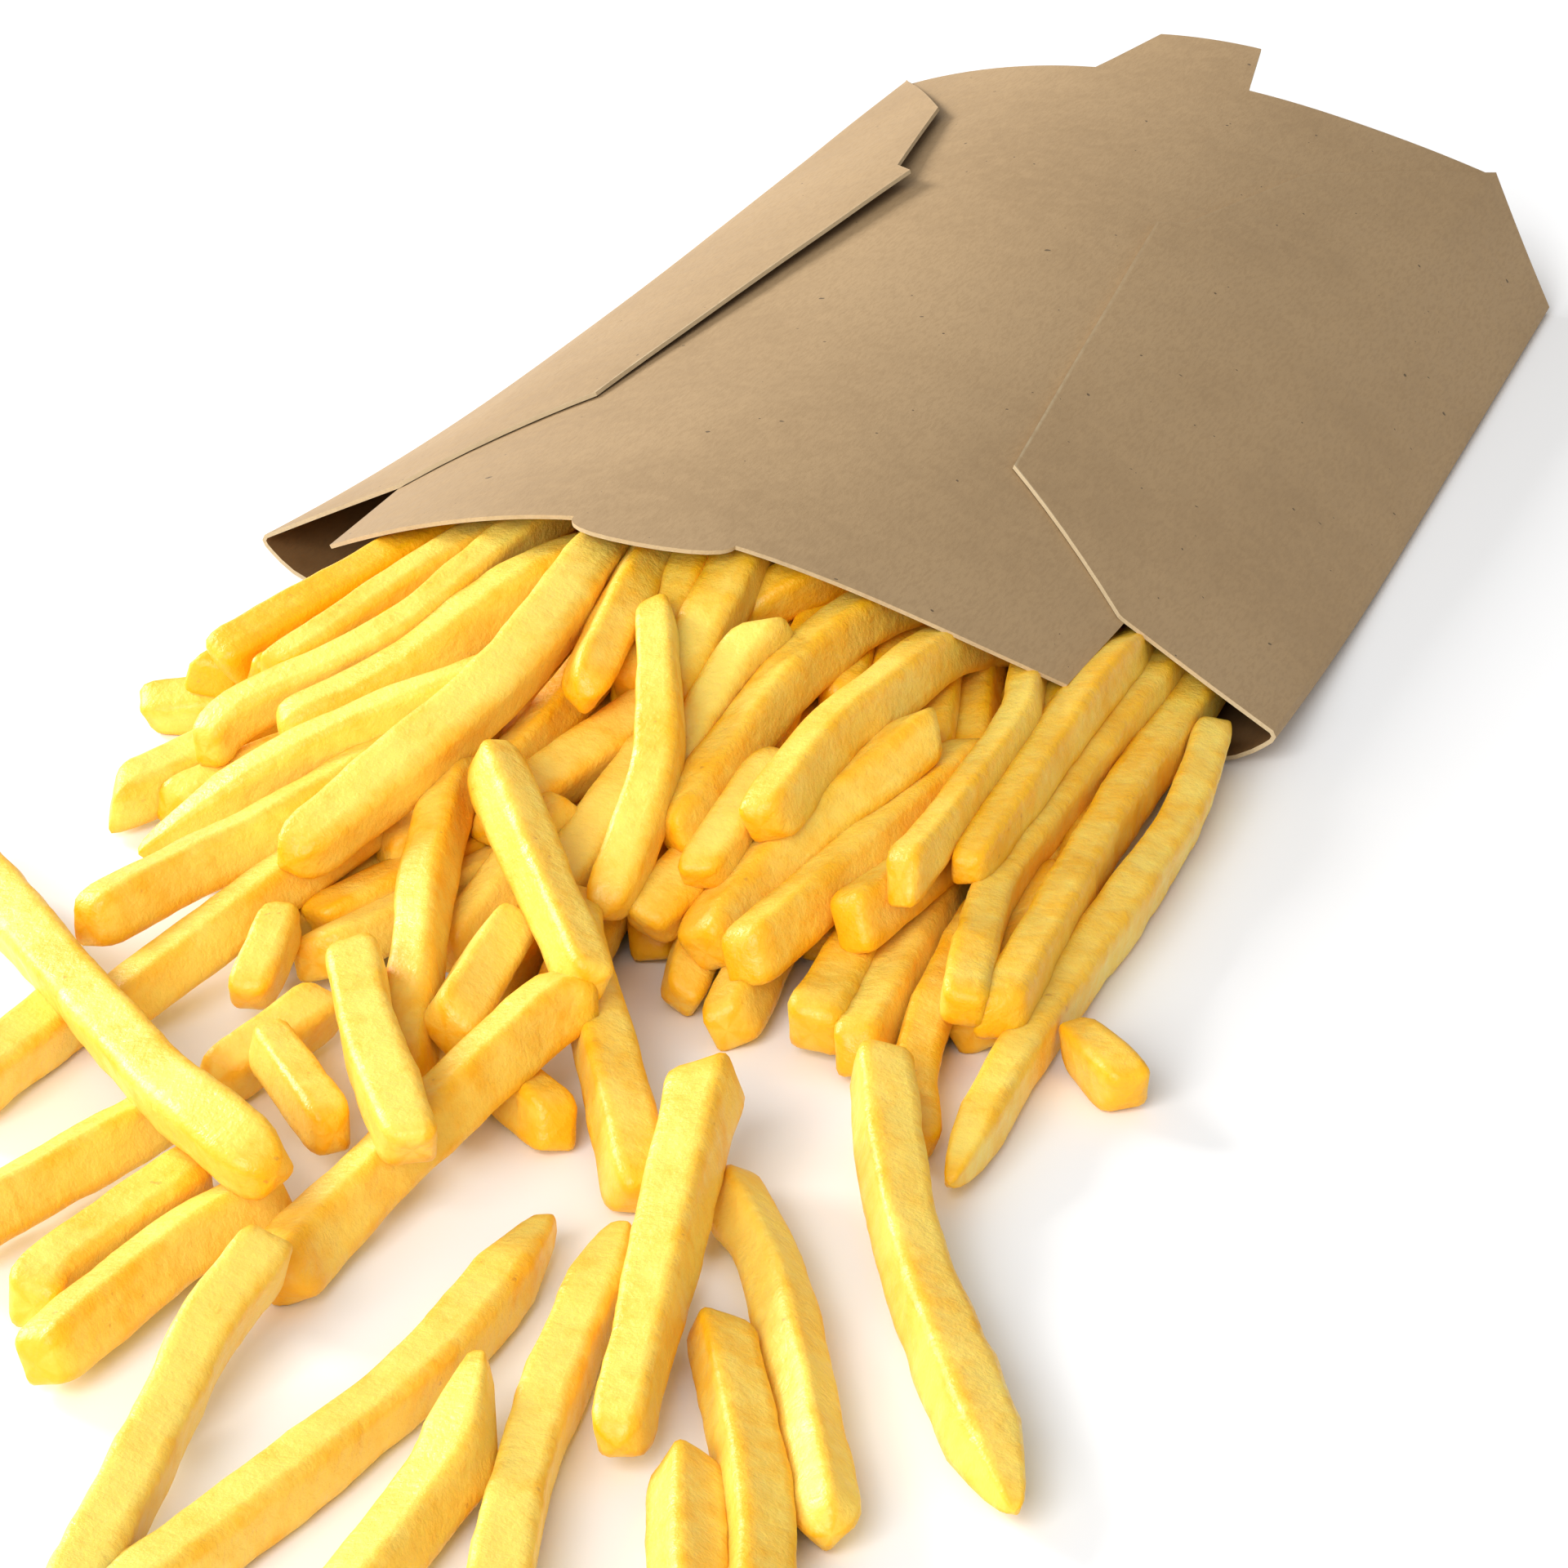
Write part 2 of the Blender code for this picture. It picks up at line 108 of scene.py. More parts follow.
HEAP = (
    # the bunch that leans to the left
    Fry(((-36, -21, 17), (-47, -45, 12.5)), 6.2, 0.85, "bb"),
    Fry(((-37, -14, 10), (-41, -26, 9), (-48, -43, 5)), 5.4, 0.8, "bs"),
    Fry(((-34, -33, 5), (-58, -43, 3.3)), 4.9, 0.4, "bb"),
    Fry(((-33, -34, 9), (-39, -47, 6), (-48, -67, 3.5)), 5.8, 0.15, "bs"),
    Fry(((-27, -24, 20), (-35, -41, 15), (-39, -47, 12)), 4.6, 0.35, "bs"),
    Fry(((-19, -20, 23), (-25, -41, 19), (-38, -55, 12), (-40, -61, 9)), 4.9, 0.3, "bb"),
    Fry(((-11, -22, 24), (-17, -36, 21), (-22, -47, 17), (-32, -58, 13)), 5.8, 0.35, "bb"),
    Fry(((-9, -48, 17), (-24, -62, 13), (-39, -79, 6)), 4.9, 0.2, "bp"),
    Fry(((-14, -42, 16), (-21, -68, 12), (-28, -84, 9.5), (-33, -100, 8)), 6.4, 0.4, "bb"),
    Fry(((-6, -22, 24.5), (-5, -42, 23), (-7, -57, 19.5), (-17, -85, 11)), 5.8, 0.3, "br"),
    Fry(((-2, -52, 12), (-11, -73, 6.5)), 4.9, 0.15, "bb"),
    Fry(((2, -57, 10), (-15, -84, 5)), 5.4, 0.6, "bb"),
    Fry(((4, -62, 10), (-12, -90, 4)), 5.4, 0.1, "bs"),
    Fry(((-11, -68, 7), (-28, -108, 3.5)), 5.4, 0.3, "bb"),
    Fry(((-15, -89, 9), (-13, -102, 5)), 5.8, 0.25, "rb"),
    Fry(((-8, -50, 16), (-1, -80, 11), (4, -95, 9), (9, -110, 4)), 5.8, 0.45, "bb"),
    Fry(((-2, -65, 20), (12, -83, 14), (23, -98, 11)), 5.7, 0.3, "rb"),
    # the middle, under the tongue
    Fry(((-2, -24, 25), (4, -53, 21)), 5.8, 0.5, "br"),
    Fry(((3, -21, 25), (5, -33, 22), (6, -44, 18)), 5.4, 0.5, "bb"),
    Fry(((9, -21, 25), (11, -37, 21), (12, -46, 17)), 5.4, 0.45, "bb"),
    Fry(((11, -20, 20), (14, -45, 15), (15, -54, 12)), 5.4, 0.6, "bb"),
    Fry(((5, -36, 25), (12, -52, 22), (16, -63, 18), (17, -78, 9)), 4.9, 0.4, "rr"),
    Fry(((0, -34, 19), (-6, -64, 11)), 4.9, 0.7, "bb"),
    Fry(((10, -36, 18), (1, -58, 12), (-2, -68, 9)), 5.8, 0.3, "bb"),
    Fry(((10, -48, 16), (9, -78, 8)), 5.4, 0.15, "bb"),
    Fry(((17, -34, 24), (15, -42, 20), (14, -62, 12)), 5.8, 0.05, "sb"),
    Fry(((17, -16, 23), (10, -28, 18), (6, -36, 15)), 5.8, 0.6, "bb"),
    Fry(((24, -19, 22), (22, -32, 21), (21, -46, 18), (20, -66, 12)), 5.7, 0.45, "bb"),
    Fry(((34, -20, 19.5), (31, -35, 19), (28, -47, 17), (26, -64, 12.5)), 5.7, 0.4, "bb"),
    Fry(((26, -50, 17), (24, -70, 9)), 4.9, 0.3, "rb"),
    Fry(((26, -50, 13), (21, -75, 6)), 5.8, 0.4, "bb"),
    Fry(((20, -44, 12), (27, -80, 4)), 5.4, 0.55, "bb"),
    # the fan on the right
    Fry(((38, -40, 17.5), (32, -56, 13), (28, -68, 8), (28, -76, 4)), 6.2, 0.45, "sb"),
    Fry(((46, -34, 14), (32, -78, 3.6)), 6.2, 0.45, "bb"),
    Fry(((47, -36, 11), (39, -69, 4)), 6.2, 0.5, "bb"),
    Fry(((45, -44, 7), (44, -72, 4), (44, -86, 3.5)), 5.8, 0.35, "bb"),
    Fry(((40, -18, 17), (43, -30, 16), (47, -64, 8)), 4.9, 0.4, "bs"),
    Fry(((46, 1, 13), (46, -15, 13), (49, -56, 7)), 4.9, 0.55, "bb"),
    Fry(((43, -14, 14), (44, -32, 9)), 4.9, 0.7, "bb"),
    Fry(((49, -5, 9), (51, -45, 7), (54, -60, 6), (60, -79, 4)), 5.4, 0.5, "pb"),
    Fry(((52, 6, 7), (55, -27, 5), (62, -78, 3.5)), 5.4, 0.55, "bb"),
    Fry(((57, -2, 5), (62, -26, 4), (66, -76, 3.5), (70, -104, 3.5)), 5.8, 0.4, "bp"),
    Fry(((66, -73, 3.3), (78, -78, 3.3)), 5.6, 0.6, "bb"),
    Fry(((47, -50, 4), (54, -80, 3.3), (62, -97, 3.3)), 4.9, 0.55, "bb"),
    # low ones that show between the others
    Fry(((-22, -40, 8), (-44, -64, 3.5)), 5.6, 0.25, "bb"),
    Fry(((-16, -48, 8), (-35, -74, 3.5)), 5.8, 0.2, "bs"),
    Fry(((-10, -50, 8), (-25, -80, 3.5)), 5.6, 0.3, "bb"),
    Fry(((-6, -56, 7), (-20, -89, 3.4)), 5.8, 0.35, "bb"),
    Fry(((8, -60, 6), (6, -88, 3.4)), 5.8, 0.3, "bb"),
    Fry(((12, -60, 6), (15, -86, 3.4)), 5.6, 0.45, "bs"),
    Fry(((30, -54, 6), (34, -84, 3.4)), 5.8, 0.45, "bb"),
    Fry(((38, -50, 6), (50, -82, 3.4)), 5.8, 0.5, "bb"),
    Fry(((54, -40, 4), (57, -74, 3.4)), 5.6, 0.55, "bb"),
)
SPILLED = (
    Fry(((41, -104, 9.5), (58, -162, 5)), 6.2, 0.3, "sr"),
    Fry(((12, -74, 8), (16, -82, 8), (40, -118, 3.3)), 5.6, 0.5, "bb"),
    Fry(((41, -124, 3.3), (50, -164, 3.3), (61, -197, 3.3)), 5.8, 0.15, "pb"),
    Fry(((34, -126, 3.3), (35, -143, 3.3), (34, -161, 3.3), (26, -204, 3.3)), 5.8, 0.25, "pb"),
    Fry(((41, -156, 7.5), (45, -170, 5), (45, -179, 3.6), (46, -201, 3.3)), 5.8, 0.2, "pb"),
    Fry(((48, -114, 3.3), (60, -129, 3.3), (81, -165, 3.3)), 5.6, 0.2, "sr"),
    Fry(((64, -160, 3.3), (76, -185, 3.3)), 5.6, 0.35, "bb"),
    Fry(((57, -137, 3.3), (72, -162, 3.3), (81, -182, 3.3)), 5.6, 0.5, "bb"),
    Fry(((55, -91, 7), (64, -109, 5.5), (73, -124, 4), (95, -155, 3.3)), 6.1, 0.3, "bp"),
    Fry(((-2, -99, 13), (9, -115, 10.5), (22, -131, 8)), 6.1, 0.3, "rb"),
    Fry(((11, -84, 12), (11, -105, 8)), 5.8, 0.25, "bb"),
    Fry(((8, -62, 11), (1, -84, 5)), 5.3, 0.2, "bb"),
    Fry(((24, -95, 7), (21, -101, 8), (14, -136, 5), (15, -148, 4)), 6.7, 0.4, "bb"),
    Fry(((4, -95, 3.3), (27, -110, 3.3)), 5.8, 0.5, "bb"),
    Fry(((15, -150, 9), (15, -163, 7), (17, -174, 5), (25, -210, 3.3)), 5.8, 0.15, "bb"),
    Fry(((8, -134, 4.5), (3.5, -147, 4.5), (1, -171, 4.5)), 6.1, 0.3, "bb"),
    Fry(((-1, -134, 5), (-6, -154, 3.5), (-5, -161, 3.5)), 5.8, 0.3, "bb"),
    Fry(((-9, -122, 5), (-19, -156, 4.5)), 6.1, 0.3, "bb"),
    Fry(((-59, -85, 5), (-13, -125, 10), (1, -136, 12), (12, -142, 12)), 6.2, 0.35, "br"),
    Fry(((-30, -105, 4), (-32, -131, 4)), 5.8, 0.3, "bb"),
    Fry(((-5, -99, 5), (-9, -116, 4)), 5.8, 0.25, "bb"),
    Fry(((-6, -112, 7), (10, -126, 8)), 5.6, 0.3, "bb"),
)

# Layers of fries under the others, as (height, left and right end at the mouth, spread, reach, number).
LAYERS = (
    (3.6, -35, 47, 9, 68, 15),
    (8.5, -34, 45, 6, 63, 14),
    (13, -30, 40, 4, 55, 12),
    (17, -24, 34, 3, 44, 10),
)

# A cut end, as (distance from the tip in millimetres, share of the full thickness).
ENDS = {
    "b": ((0, 0.02), (0.05, 0.42), (0.25, 0.68), (0.8, 0.86), (1.8, 0.96), (3.2, 1)),
    "r": ((0, 0.02), (0.15, 0.3), (0.6, 0.55), (1.5, 0.78), (3, 0.93), (5, 1)),
    "s": ((0, 0.02), (0.03, 0.4), (0.15, 0.7), (0.6, 0.88), (1.6, 0.97), (3, 1)),
    "p": ((0, 0.02), (0.3, 0.2), (1.2, 0.36), (3.5, 0.56), (7, 0.76), (12, 1)),
}
END_SLANT = {"b": 0.4, "r": 0.3, "s": 0.8, "p": 0.3}
END_REACH = 7 * MM  # a slanted cut fades out over this length

CORE_REACH = (22, 112)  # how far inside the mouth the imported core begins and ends, in millimetres
CORE_SIDE_GAP = 12 * MM  # the sharp side folds stay empty
CORE_GAP = 0.8 * MM  # between the core and the board
CORE_ROWS = 24
CORE_POINTS = 48

FRY_SEED = 7
FILLER_SIZE = (5, 6.2)  # thickness of the fries in the layers, in millimetres
FILLER_TONE = (0.5, 0.95)
FRY_TURN = 16  # spread of the fries' turn about their own line, in degrees
FLATNESS = (0.8, 1.1)
TAPER = 0.1
ON_TABLE = 0.02 * MM  # the lowest that a fry's surface may be

# How the fries settle.
SETTLE_SAMPLES = 24
SETTLE_SPAN = (0.06, 0.94)  # the shares of a fry's length between which it is sampled
SETTLE_ROUNDS = 150
SETTLE_LOOK = 8  # rounds between two searches for samples that are near each other
SETTLE_NEAR = 13 * MM
SETTLE_PUSH = 0.55  # share of an overlap that is undone in a round
SETTLE_SINK = 0.05 * MM  # how far a free fry sinks in a round
HELD = 0.1  # looseness of a fry that keeps to its row, where a free one has 1
ROOTED = -26 * MM  # a fry that starts further in than this comes out of the carton
ROOT_SIDE = 6 * MM  # and when it is no further outside the score than this
ROOT_REACH = 16 * MM  # such fries start about this far inside the mouth
ROOT_SHORTEST = 6 * MM
ROOT_GAP = 1 * MM  # under the front panel
LIP_MARGIN = 1 * MM  # the front panel holds fries down from this far in front of its lip
DEEPEST = 2.8 * MM  # a hidden fry that ends up further inside another one is left out
HOLD = 0.05  # share of the way back to its row that a held fry goes in each round
TABLE_GAP = 0.4 * MM  # room for a fry's relief over the table


class Tree:
    """Adds nodes to a geometry or shader tree, with their settings and what feeds their inputs."""

    def __init__(self, tree):
        self.tree = tree

    def add(self, kind, inputs=(), **settings):
        node = self.tree.nodes.new(kind)
        for name, value in settings.items():
            setattr(node, name, value)
        for key, value in dict(inputs).items():
            self.feed(node.inputs[key], value)
        return node

    def feed(self, socket, value):
        if isinstance(value, bpy.types.NodeSocket):
            self.tree.links.new(value, socket)
        else:
            socket.default_value = value

    def math(self, operation, *values):
        return self.add("ShaderNodeMath", enumerate(values), operation=operation).outputs[0]

    def vector(self, operation, *values):
        node = self.add("ShaderNodeVectorMath", operation=operation)
        if operation == "SCALE":
            self.feed(node.inputs[0], values[0])
            self.feed(node.inputs["Scale"], values[1])
        else:
            for socket, value in zip(node.inputs, values):
                self.feed(socket, value)
        return node.outputs["Value" if operation in ("DOT_PRODUCT", "LENGTH") else "Vector"]

    def ramp(self, value, low, high, start=0.0, end=1.0):
        inputs = {"Value": value, "From Min": low, "From Max": high, "To Min": start, "To Max": end}
        return self.add("ShaderNodeMapRange", inputs, interpolation_type="SMOOTHSTEP").outputs["Result"]


class ShaderTree(Tree):
    """The nodes of one material, on object coordinates."""

    def __init__(self, name):
        self.material = bpy.data.materials.new(name)
        self.material.use_nodes = True
        super().__init__(self.material.node_tree)
        self.shader = self.tree.nodes["Principled BSDF"]
        self.place = self.add("ShaderNodeTexCoord").outputs["Object"]

    def noise(self, scale, detail=2.0, roughness=0.5, place=None, distortion=0.0):
        inputs = {"Vector": place or self.place, "Scale": scale, "Detail": detail}
        inputs |= {"Roughness": roughness, "Distortion": distortion}
        return self.add("ShaderNodeTexNoise", inputs).outputs["Fac"]

    def mix(self, factor, first, second, blend="MIX"):
        node = self.add("ShaderNodeMix", data_type="RGBA", blend_type=blend)
        self.feed(node.inputs["Factor"], factor)
        for socket, colour in zip((node.inputs[6], node.inputs[7]), (first, second)):
            self.feed(socket, colour if isinstance(colour, bpy.types.NodeSocket) else (*colour, 1))
        return node.outputs[2]

    def attribute(self, name):
        return self.add("ShaderNodeAttribute", attribute_name=name).outputs["Fac"]

    def bump(self, height, distance, strength=1.0, normal=None):
        inputs = {"Height": height, "Distance": distance, "Strength": strength}
        if normal:
            inputs["Normal"] = normal
        return self.add("ShaderNodeBump", inputs).outputs["Normal"]

    def finish(self, **inputs):
        for name, value in inputs.items():
            self.feed(self.shader.inputs[name.replace("_", " ")], value)
        return self.material


def mix(a, b, t):
    return a + (b - a) * t


def along_carton(mouth_value, foot_value, y):
    return mix(mouth_value, foot_value, y / SIDE_LENGTH)


def score_x(y):
    return along_carton(SCORE_MOUTH, SCORE_FOOT, max(y, 0))


def fold_x(y):
    return along_carton(MOUTH_HALF_WIDTH, FOOT_HALF_WIDTH, max(y, 0))


def fold_z(y):
    """Height of the side fold: lifted at the open mouth, and down on the table further back."""
    lift = max(0, 1 - max(y, 0) / FOLD_DROP_LENGTH)
    return mix(FOLD_HEIGHT_FOOT, FOLD_HEIGHT_MOUTH, lift * lift)


def arch_z(x, y):
    """Outer height of the arched upper side, which falls straight from its scores to its side folds."""
    score, fold = score_x(y), fold_x(y)
    crown = along_carton(CROWN_MOUTH, CROWN_FOOT, y)
    drop = along_carton(ARCH_MOUTH, ARCH_FOOT, y)
    if abs(x) <= score:
        return crown - drop * x * x
    at_score = crown - drop * score * score
    return mix(at_score, fold_z(y) + BOARD, (abs(x) - score) / (fold - score))


def back_z(x, y):
    rise = max(0, (abs(x) - fold_x(y) + FOLD_LIFT_WIDTH) / FOLD_LIFT_WIDTH)
    return (fold_z(y) - BOARD) * rise * rise


def lip_y(x):
    inside = max(0, 1 - (x / TONGUE_HALF_WIDTH) ** 2)
    return LIP_SETBACK * abs(x / SCORE_MOUTH) ** 3 - LIP - TONGUE * math.sqrt(inside)


def foot_y(x):
    share = min(1, abs(x) / SCORE_FOOT)
    return SIDE_LENGTH - FOOT_ARC * (1 - share * share)


def between(pairs, at):
    """The value at a place, read from rising (place, value) pairs."""
    return float(np.interp(at, [p[0] for p in pairs], [p[1] for p in pairs]))


def waves(x, y):
    """Slight unevenness of the board."""
    broad = noise.noise(Vector((x, y, 0)) * 16)
    fine = noise.noise(Vector((x, y, 0.2)) * 55)
    return 0.55 * MM * broad + 0.1 * MM * fine


def front_shares():
    """Places across the front panel as shares of the score's distance, closer at the tongue and the tab."""
    shoulder = TONGUE_HALF_WIDTH / SCORE_MOUTH
    tab = TAB_BASE_HALF_WIDTH / SCORE_FOOT
    half = [0, 0.07, 0.13, 0.17, shoulder - 0.02, shoulder - 0.008, shoulder - 0.002, shoulder]
    half += [tab - 0.02, tab]
    half += [tab + (1 - tab) * i / 14 for i in range(1, 15)]
    return [-share for share in half[:0:-1]] + half


def side_shares():
    """Places across a side panel, from its score at 0 to its fold at 1."""
    return (0, 0.03, 0.1, 0.22, 0.36, 0.5, 0.64, 0.78, 0.88, 0.95, 0.985, 1)


def carton_rows():
    """Shares of the carton's length, with one at each corner of the wing."""
    count = round(SIDE_LENGTH / STATION)
    regular = [i / count for i in range(count + 1)]
    corners = [y * MM / SIDE_LENGTH for y, _ in WING_EDGE]
    kept = [t for t in regular if min(abs(t - corner) for corner in corners) > 0.3 / count]
    return sorted(kept + corners)


def side_point(side, share, t):
    y = t * (SIDE_LENGTH - FOOT_LEAN * share)
    x = mix(score_x(y), fold_x(y), share)
    z = arch_z(x, y) + BOARD + WING_GAP * (1 - share) + waves(side * x, y) * (1 - share)
    return Vector((side * x, y, z))


def wing_point(side, share, t):
    """share runs from the wing's free edge to its score."""
    y = t * SIDE_LENGTH
    x = mix(between(WING_EDGE, y / MM) * MM, score_x(y), share)
    lift = between(LEFT_WING_LIFT, y / MM) * MM if side < 0 else RIGHT_WING_LIFT
    z = arch_z(x, y) + BOARD + WING_GAP + waves(side * x, y) + lift * (1 - share) ** 1.4
    return Vector((side * x, y, z))


def front_point(share, t):
    y = mix(lip_y(share * SCORE_MOUTH), foot_y(share * SCORE_FOOT), t)
    x = share * score_x(y)
    return Vector((x, y, arch_z(x, y) + waves(x, y)))


def back_point(share, outside, side, t):
    """A point of the back panel, under the front panel or, outside the scores, under a side panel."""
    foot = mix(SCORE_FOOT, FOOT_HALF_WIDTH, share) if outside else abs(share) * SCORE_FOOT
    middle = 1 - (foot / FOOT_HALF_WIDTH) ** 2
    y = mix(-BACK_BOW * middle, SIDE_LENGTH - FOOT_LEAN - FOOT_ARC * middle, t)
    x = side * mix(score_x(y), fold_x(y), share) if outside else share * score_x(y)
    return Vector((x, y, back_z(x, y)))


def tab_point(share, t):
    half = mix(TAB_BASE_HALF_WIDTH, TAB_TIP_HALF_WIDTH, t)
    root = foot_y(share * TAB_BASE_HALF_WIDTH)
    x = share * half
    y = mix(root, foot_y(0) + TAB_LENGTH, t)
    return Vector((x, y, arch_z(x, y) + waves(x, y)))


def linked(name, data):
    obj = bpy.data.objects.new(name, data)
    bpy.context.scene.collection.objects.link(obj)
    return obj


def object_of(bm, name):
    """The object of a bmesh, which is freed."""
    mesh = bpy.data.meshes.new(name)
    bm.to_mesh(mesh)
    bm.free()
    return linked(name, mesh)


def grid(bm, rows):
    """Quads between rows of as many vertices each."""
    for row, following in zip(rows, rows[1:]):
        for i in range(len(row) - 1):
            bm.faces.new((row[i], row[i + 1], following[i + 1], following[i]))


def blank_sheet():
    """The folded blank as one open sheet: back, sides with their wings, closed end, front and lock tab."""
    bm = bmesh.new()
    rows = carton_rows()
    shares = front_shares()
    sides = side_shares()
    wing_shares = [0, 0.008, 0.02] + [i / 12 for i in range(1, 12)]
    pale_fibre_and_highlight = bm.verts.layers.float.new("pale_fibre_and_highlight")

    def column(points):
        return [bm.verts.new(point) for point in points]

    left = [column(side_point(-1, s, t) for t in rows) for s in reversed(sides)]
    right = [column(side_point(1, s, t) for t in rows) for s in sides]
    left_wing = [column(wing_point(-1, s, t) for t in rows) for s in wing_shares] + [left[-1]]
    right_wing = [column(wing_point(1, s, t) for t in rows) for s in wing_shares] + [right[0]]
    # the wing edges' pale line: partly pale cut fibres, partly a painted highlight that fades towards the
    # closed end
    for line in left_wing[:2] + right_wing[:2]:
        for vertex, t in zip(line, rows):
            vertex[pale_fibre_and_highlight] = 1 - EDGE_FIBRE_HIGHLIGHT_FADE * min(1, t / EDGE_FIBRE_HIGHLIGHT_SHARE)
    front = [column(front_point(s, t) for t in rows) for s in shares]
    back = [column(back_point(s, True, -1, t) for t in rows) for s in reversed(sides)]
    back += [column(back_point(s, False, 1, t) for t in rows) for s in shares]
    back += [column(back_point(s, True, 1, t) for t in rows) for s in sides]

    grid(bm, left)
    grid(bm, left_wing[::-1])
    grid(bm, right)
    grid(bm, right_wing)
    grid(bm, front)
    grid(bm, back[::-1])
    # the rounded side folds
    for upper, lower, side in ((left[0], back[0], -1), (right[-1], back[-1], 1)):
        middle = column((a.co + b.co) / 2 + Vector((side * FOLD_ROUND, 0, 0)) for a, b in zip(upper, lower))
        grid(bm, [lower, middle, upper] if side < 0 else [upper, middle, lower])
    # the lock tab goes on in the front panel's plane, and the closed end starts just under it
    tab = TAB_BASE_HALF_WIDTH / SCORE_FOOT + 1e-6
    inner = [i for i, share in enumerate(shares) if abs(share) <= tab]
    tab_rows = [[front[i][-1] for i in inner]]
    for t in (0.25, 0.5, 0.75, 1):
        tab_rows.append(column(tab_point(shares[i] / tab, t) for i in inner))
    grid(bm, tab_rows)
    upper_edge = [c[-1] for c in left]
    for i, c in enumerate(front):
        under_tab = inner[0] < i < inner[-1]
        upper_edge.append(bm.verts.new(c[-1].co - Vector((0, 0, TAB_STEP))) if under_tab else c[-1])
    upper_edge += [c[-1] for c in right]
    lower_edge = [c[-1] for c in back]
    end_rows = [upper_edge]
    for t in (0.25, 0.5, 0.75):
        hollow = END_HOLLOW * math.sin(math.pi * t)
        end_rows.append(
            column(a.co.lerp(b.co, t) - Vector((0, hollow, 0)) for a, b in zip(upper_edge, lower_edge))
        )
    end_rows.append(lower_edge)
    grid(bm, end_rows)
    bmesh.ops.remove_doubles(bm, verts=bm.verts, dist=0.00001)
    bmesh.ops.recalc_face_normals(bm, faces=bm.faces)
    return object_of(bm, "kraft_carton")


def baked(obj):
    """The object with what its modifiers make as its plain mesh."""
    graph = bpy.context.evaluated_depsgraph_get()
    mesh = bpy.data.meshes.new_from_object(obj.evaluated_get(graph))
    mesh.name = obj.name
    old = obj.data
    obj.modifiers.clear()
    obj.data = mesh
    bpy.data.meshes.remove(old)
    return obj


def kraft_material(settings, name, colour):
    tree = ShaderTree(name)
    stretch = tree.add("ShaderNodeMapping", {"Vector": tree.place, "Scale": (1, 0.25, 1)})
    fibre = tree.noise(2600, 3, 0.6, stretch.outputs["Vector"], 0.4)
    cloud = tree.noise(28, 3, 0.6)
    mottle = tree.noise(420, 3, 0.65)
    grain = tree.noise(5200, 2, 0.6)
    speck = tree.ramp(tree.noise(900, 1, 0.3), 0.80, 0.815)
    dark = tuple(c * f for c, f in zip(colour, (0.80, 0.76, 0.70)))
    light = tuple(min(1, c * f) for c, f in zip(colour, (1.12, 1.13, 1.15)))
    base = tree.mix(tree.ramp(cloud, 0.3, 0.7), dark, light)
    base = tree.mix(0.5, base, colour)
    base = tree.mix(tree.ramp(mottle, 0.35, 0.7, 0, 0.45), base, light)
    base = tree.mix(tree.ramp(fibre, 0.42, 0.66, 0, 0.4), base, dark)
    base = tree.mix(speck, base, tuple(c * 0.35 for c in colour))
    # painted highlight along the wings' free edges, partly pale cut fibres: mixed towards the paler cut
    # colour
    pale_fibre_and_highlight = tree.math("MULTIPLY", tree.attribute("pale_fibre_and_highlight"), tree.ramp(mottle, 0.3, 0.6, 0.35, 0.9))
    base = tree.mix(pale_fibre_and_highlight, base, tuple(settings.cut))
    height = tree.math("ADD", tree.math("MULTIPLY", fibre, 0.6), tree.math("MULTIPLY", grain, 0.4))
    return tree.finish(
        Base_Color=base,
        Roughness=tree.ramp(mottle, 0.2, 0.8, 0.62, 0.8),
        Normal=tree.bump(height, 0.05 * MM, 0.8),
    )


def potato_material(settings):
    tree = ShaderTree("fried_potato")
    tone = tree.attribute("tone")
    patches = tree.noise(95, 3, 0.6)
    mottle = tree.noise(420, 3, 0.6)
    pits = tree.noise(1500, 3, 0.65)
    fleck = tree.noise(760, 2, 0.5)
    warm = tree.math("MULTIPLY", tree.math("SUBTRACT", patches, 0.5), 1.5)
    golden = tree.math("ADD", tone, warm)
    golden = tree.math("ADD", golden, tree.math("MULTIPLY", tree.math("SUBTRACT", mottle, 0.5), 0.9))
    golden = tree.math("ADD", golden, tree.math("MULTIPLY", tree.attribute("rim"), 0.34))
    golden = tree.math("ADD", golden, tree.math("MULTIPLY", tree.attribute("end"), 0.42))
    golden = tree.ramp(golden, 0, 1.1)
    base = tree.mix(golden, tuple(settings.pale), tuple(settings.golden))
    browned = tree.math("MULTIPLY", tree.ramp(fleck, 0.68, 0.78), tree.ramp(patches, 0.5, 0.65))
    base = tree.mix(tree.math("MULTIPLY", browned, 0.55), base, tuple(settings.brown))
    height = tree.math("ADD", tree.math("MULTIPLY", pits, 0.5), mottle)
    tree.shader.inputs["Subsurface Weight"].default_value = settings.translucency
    tree.shader.inputs["Subsurface Radius"].default_value = (1.0, 0.55, 0.16)
    tree.shader.inputs["Subsurface Scale"].default_value = 3.5 * MM
    tree.shader.inputs["Specular IOR Level"].default_value = 0.5
    return tree.finish(
        Base_Color=base,
        Roughness=tree.ramp(mottle, 0.25, 0.75, 0.34, 0.56),
        Normal=tree.bump(height, 0.3 * MM, 0.9),
    )


def unit(vector):
    return vector / np.linalg.norm(vector, axis=-1, keepdims=True)


